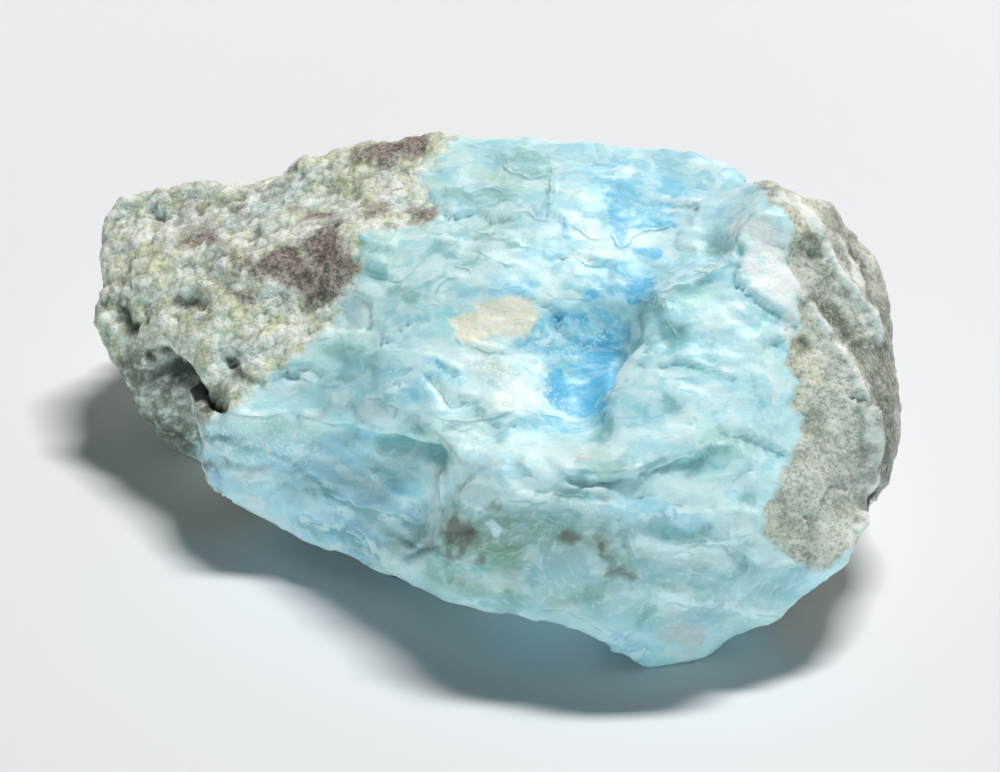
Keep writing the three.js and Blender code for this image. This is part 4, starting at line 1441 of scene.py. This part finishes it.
FLOOR_RADIUS = 1.4                      # in metres, as all of the studio
COVE_RADIUS = 0.5                       # of the curve from the floor up to the wall
COVE_STEPS = 12
WALL_HEIGHT = 0.6
MIDDLE_RADIUS = 0.02                    # of the flat face in the middle of the floor
FLOOR_SIDES = 96
FLOOR_TINT = srgb(232, 233, 235)
FLOOR_ROUGHNESS = 0.7
FLOOR_SPECULAR = 0.2
LIT_POINT = Vector((0, 0, 0.015))

# Name, place, width and height, power in watts, and colour
LAMPS = [
    ("key", (0.42, 0.68, 1.60), (0.60, 0.16), 32.6, (1, 1, 1)),
    ("front", (-0.10, -1.15, 0.12), (0.9, 0.2), 5.1, (0.66, 0.95, 1.0)),
]
WORLD_TINT = (0.80, 0.94, 1.0, 1)
WORLD_STRENGTH = 0.035


def build_floor():
    """A round pale floor that curves up into a wall all round, so no view shows its end."""
    bend = [(FLOOR_RADIUS + COVE_RADIUS * math.sin(a), COVE_RADIUS * (1 - math.cos(a)))
            for a in np.linspace(0, math.pi / 2, COVE_STEPS)]
    profile = [(MIDDLE_RADIUS, 0.0), *bend, (FLOOR_RADIUS + COVE_RADIUS, WALL_HEIGHT)]
    sides = FLOOR_SIDES
    points = [(r * math.cos(t), r * math.sin(t), z)
              for r, z in profile for t in np.linspace(0, 2 * math.pi, sides, endpoint=False)]
    faces = [(n * sides + k, n * sides + (k + 1) % sides,
              (n + 1) * sides + (k + 1) % sides, (n + 1) * sides + k)
             for n in range(len(profile) - 1) for k in range(sides)]
    faces.append(tuple(range(sides)))
    mesh = bpy.data.meshes.new("floor")
    mesh.from_pydata(points, [], faces)
    mesh.polygons.foreach_set("use_smooth", [True] * len(mesh.polygons))
    floor = bpy.data.objects.new("floor", mesh)
    bpy.context.scene.collection.objects.link(floor)
    paint = bpy.data.materials.new("floor")
    paint.use_nodes = True
    shader = paint.node_tree.nodes["Principled BSDF"]
    shader.inputs["Base Color"].default_value = FLOOR_TINT
    shader.inputs["Roughness"].default_value = FLOOR_ROUGHNESS
    shader.inputs["Specular IOR Level"].default_value = FLOOR_SPECULAR
    mesh.materials.append(paint)


def add_area_light(name, place, size, power, colour):
    """A rectangular lamp that faces the stone, its first side kept level along x."""
    light = bpy.data.lights.new(name, "AREA")
    light.shape = "RECTANGLE"
    light.size, light.size_y = size
    light.energy = power
    light.color = colour
    lamp = bpy.data.objects.new(name, light)
    lamp.visible_camera = False
    bpy.context.scene.collection.objects.link(lamp)
    back = (Vector(place) - LIT_POINT).normalized()
    level = (Vector((1, 0, 0)) - back.x * back).normalized()
    axes = Matrix((level, back.cross(level), back)).transposed()
    lamp.matrix_world = Matrix.Translation(place) @ axes.to_4x4()


def light_studio():
    for lamp in LAMPS:
        add_area_light(*lamp)
    world = bpy.data.worlds.new("studio")
    world.use_nodes = True
    backdrop = world.node_tree.nodes["Background"]
    backdrop.inputs["Color"].default_value = WORLD_TINT
    backdrop.inputs["Strength"].default_value = WORLD_STRENGTH
    bpy.context.scene.world = world
    bpy.context.scene.view_settings.view_transform = "Standard"


def place_camera():
    data = bpy.data.cameras.new("camera")
    data.sensor_width = SENSOR_WIDTH
    data.lens = LENS
    data.clip_start = 0.01
    camera = bpy.data.objects.new("camera", data)
    axes = np.stack([CAMERA_RIGHT, CAMERA_UP, CAMERA_BACKWARDS], axis=1)
    turned = Matrix(axes.tolist()).to_4x4()
    camera.matrix_world = Matrix.Translation(Vector(CAMERA_PLACE * MM)) @ turned
    bpy.context.scene.collection.objects.link(camera)
    bpy.context.scene.camera = camera


# ---- Scene -----------------------------------------------------------------------------------

place_camera()
build_floor()
light_studio()

stone = build_stone(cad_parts["raw_larimar"])
stone.data.materials.clear()
stone.data.materials.append(StoneMaterial().finish())
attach(stone, "root")
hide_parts("raw_larimar")
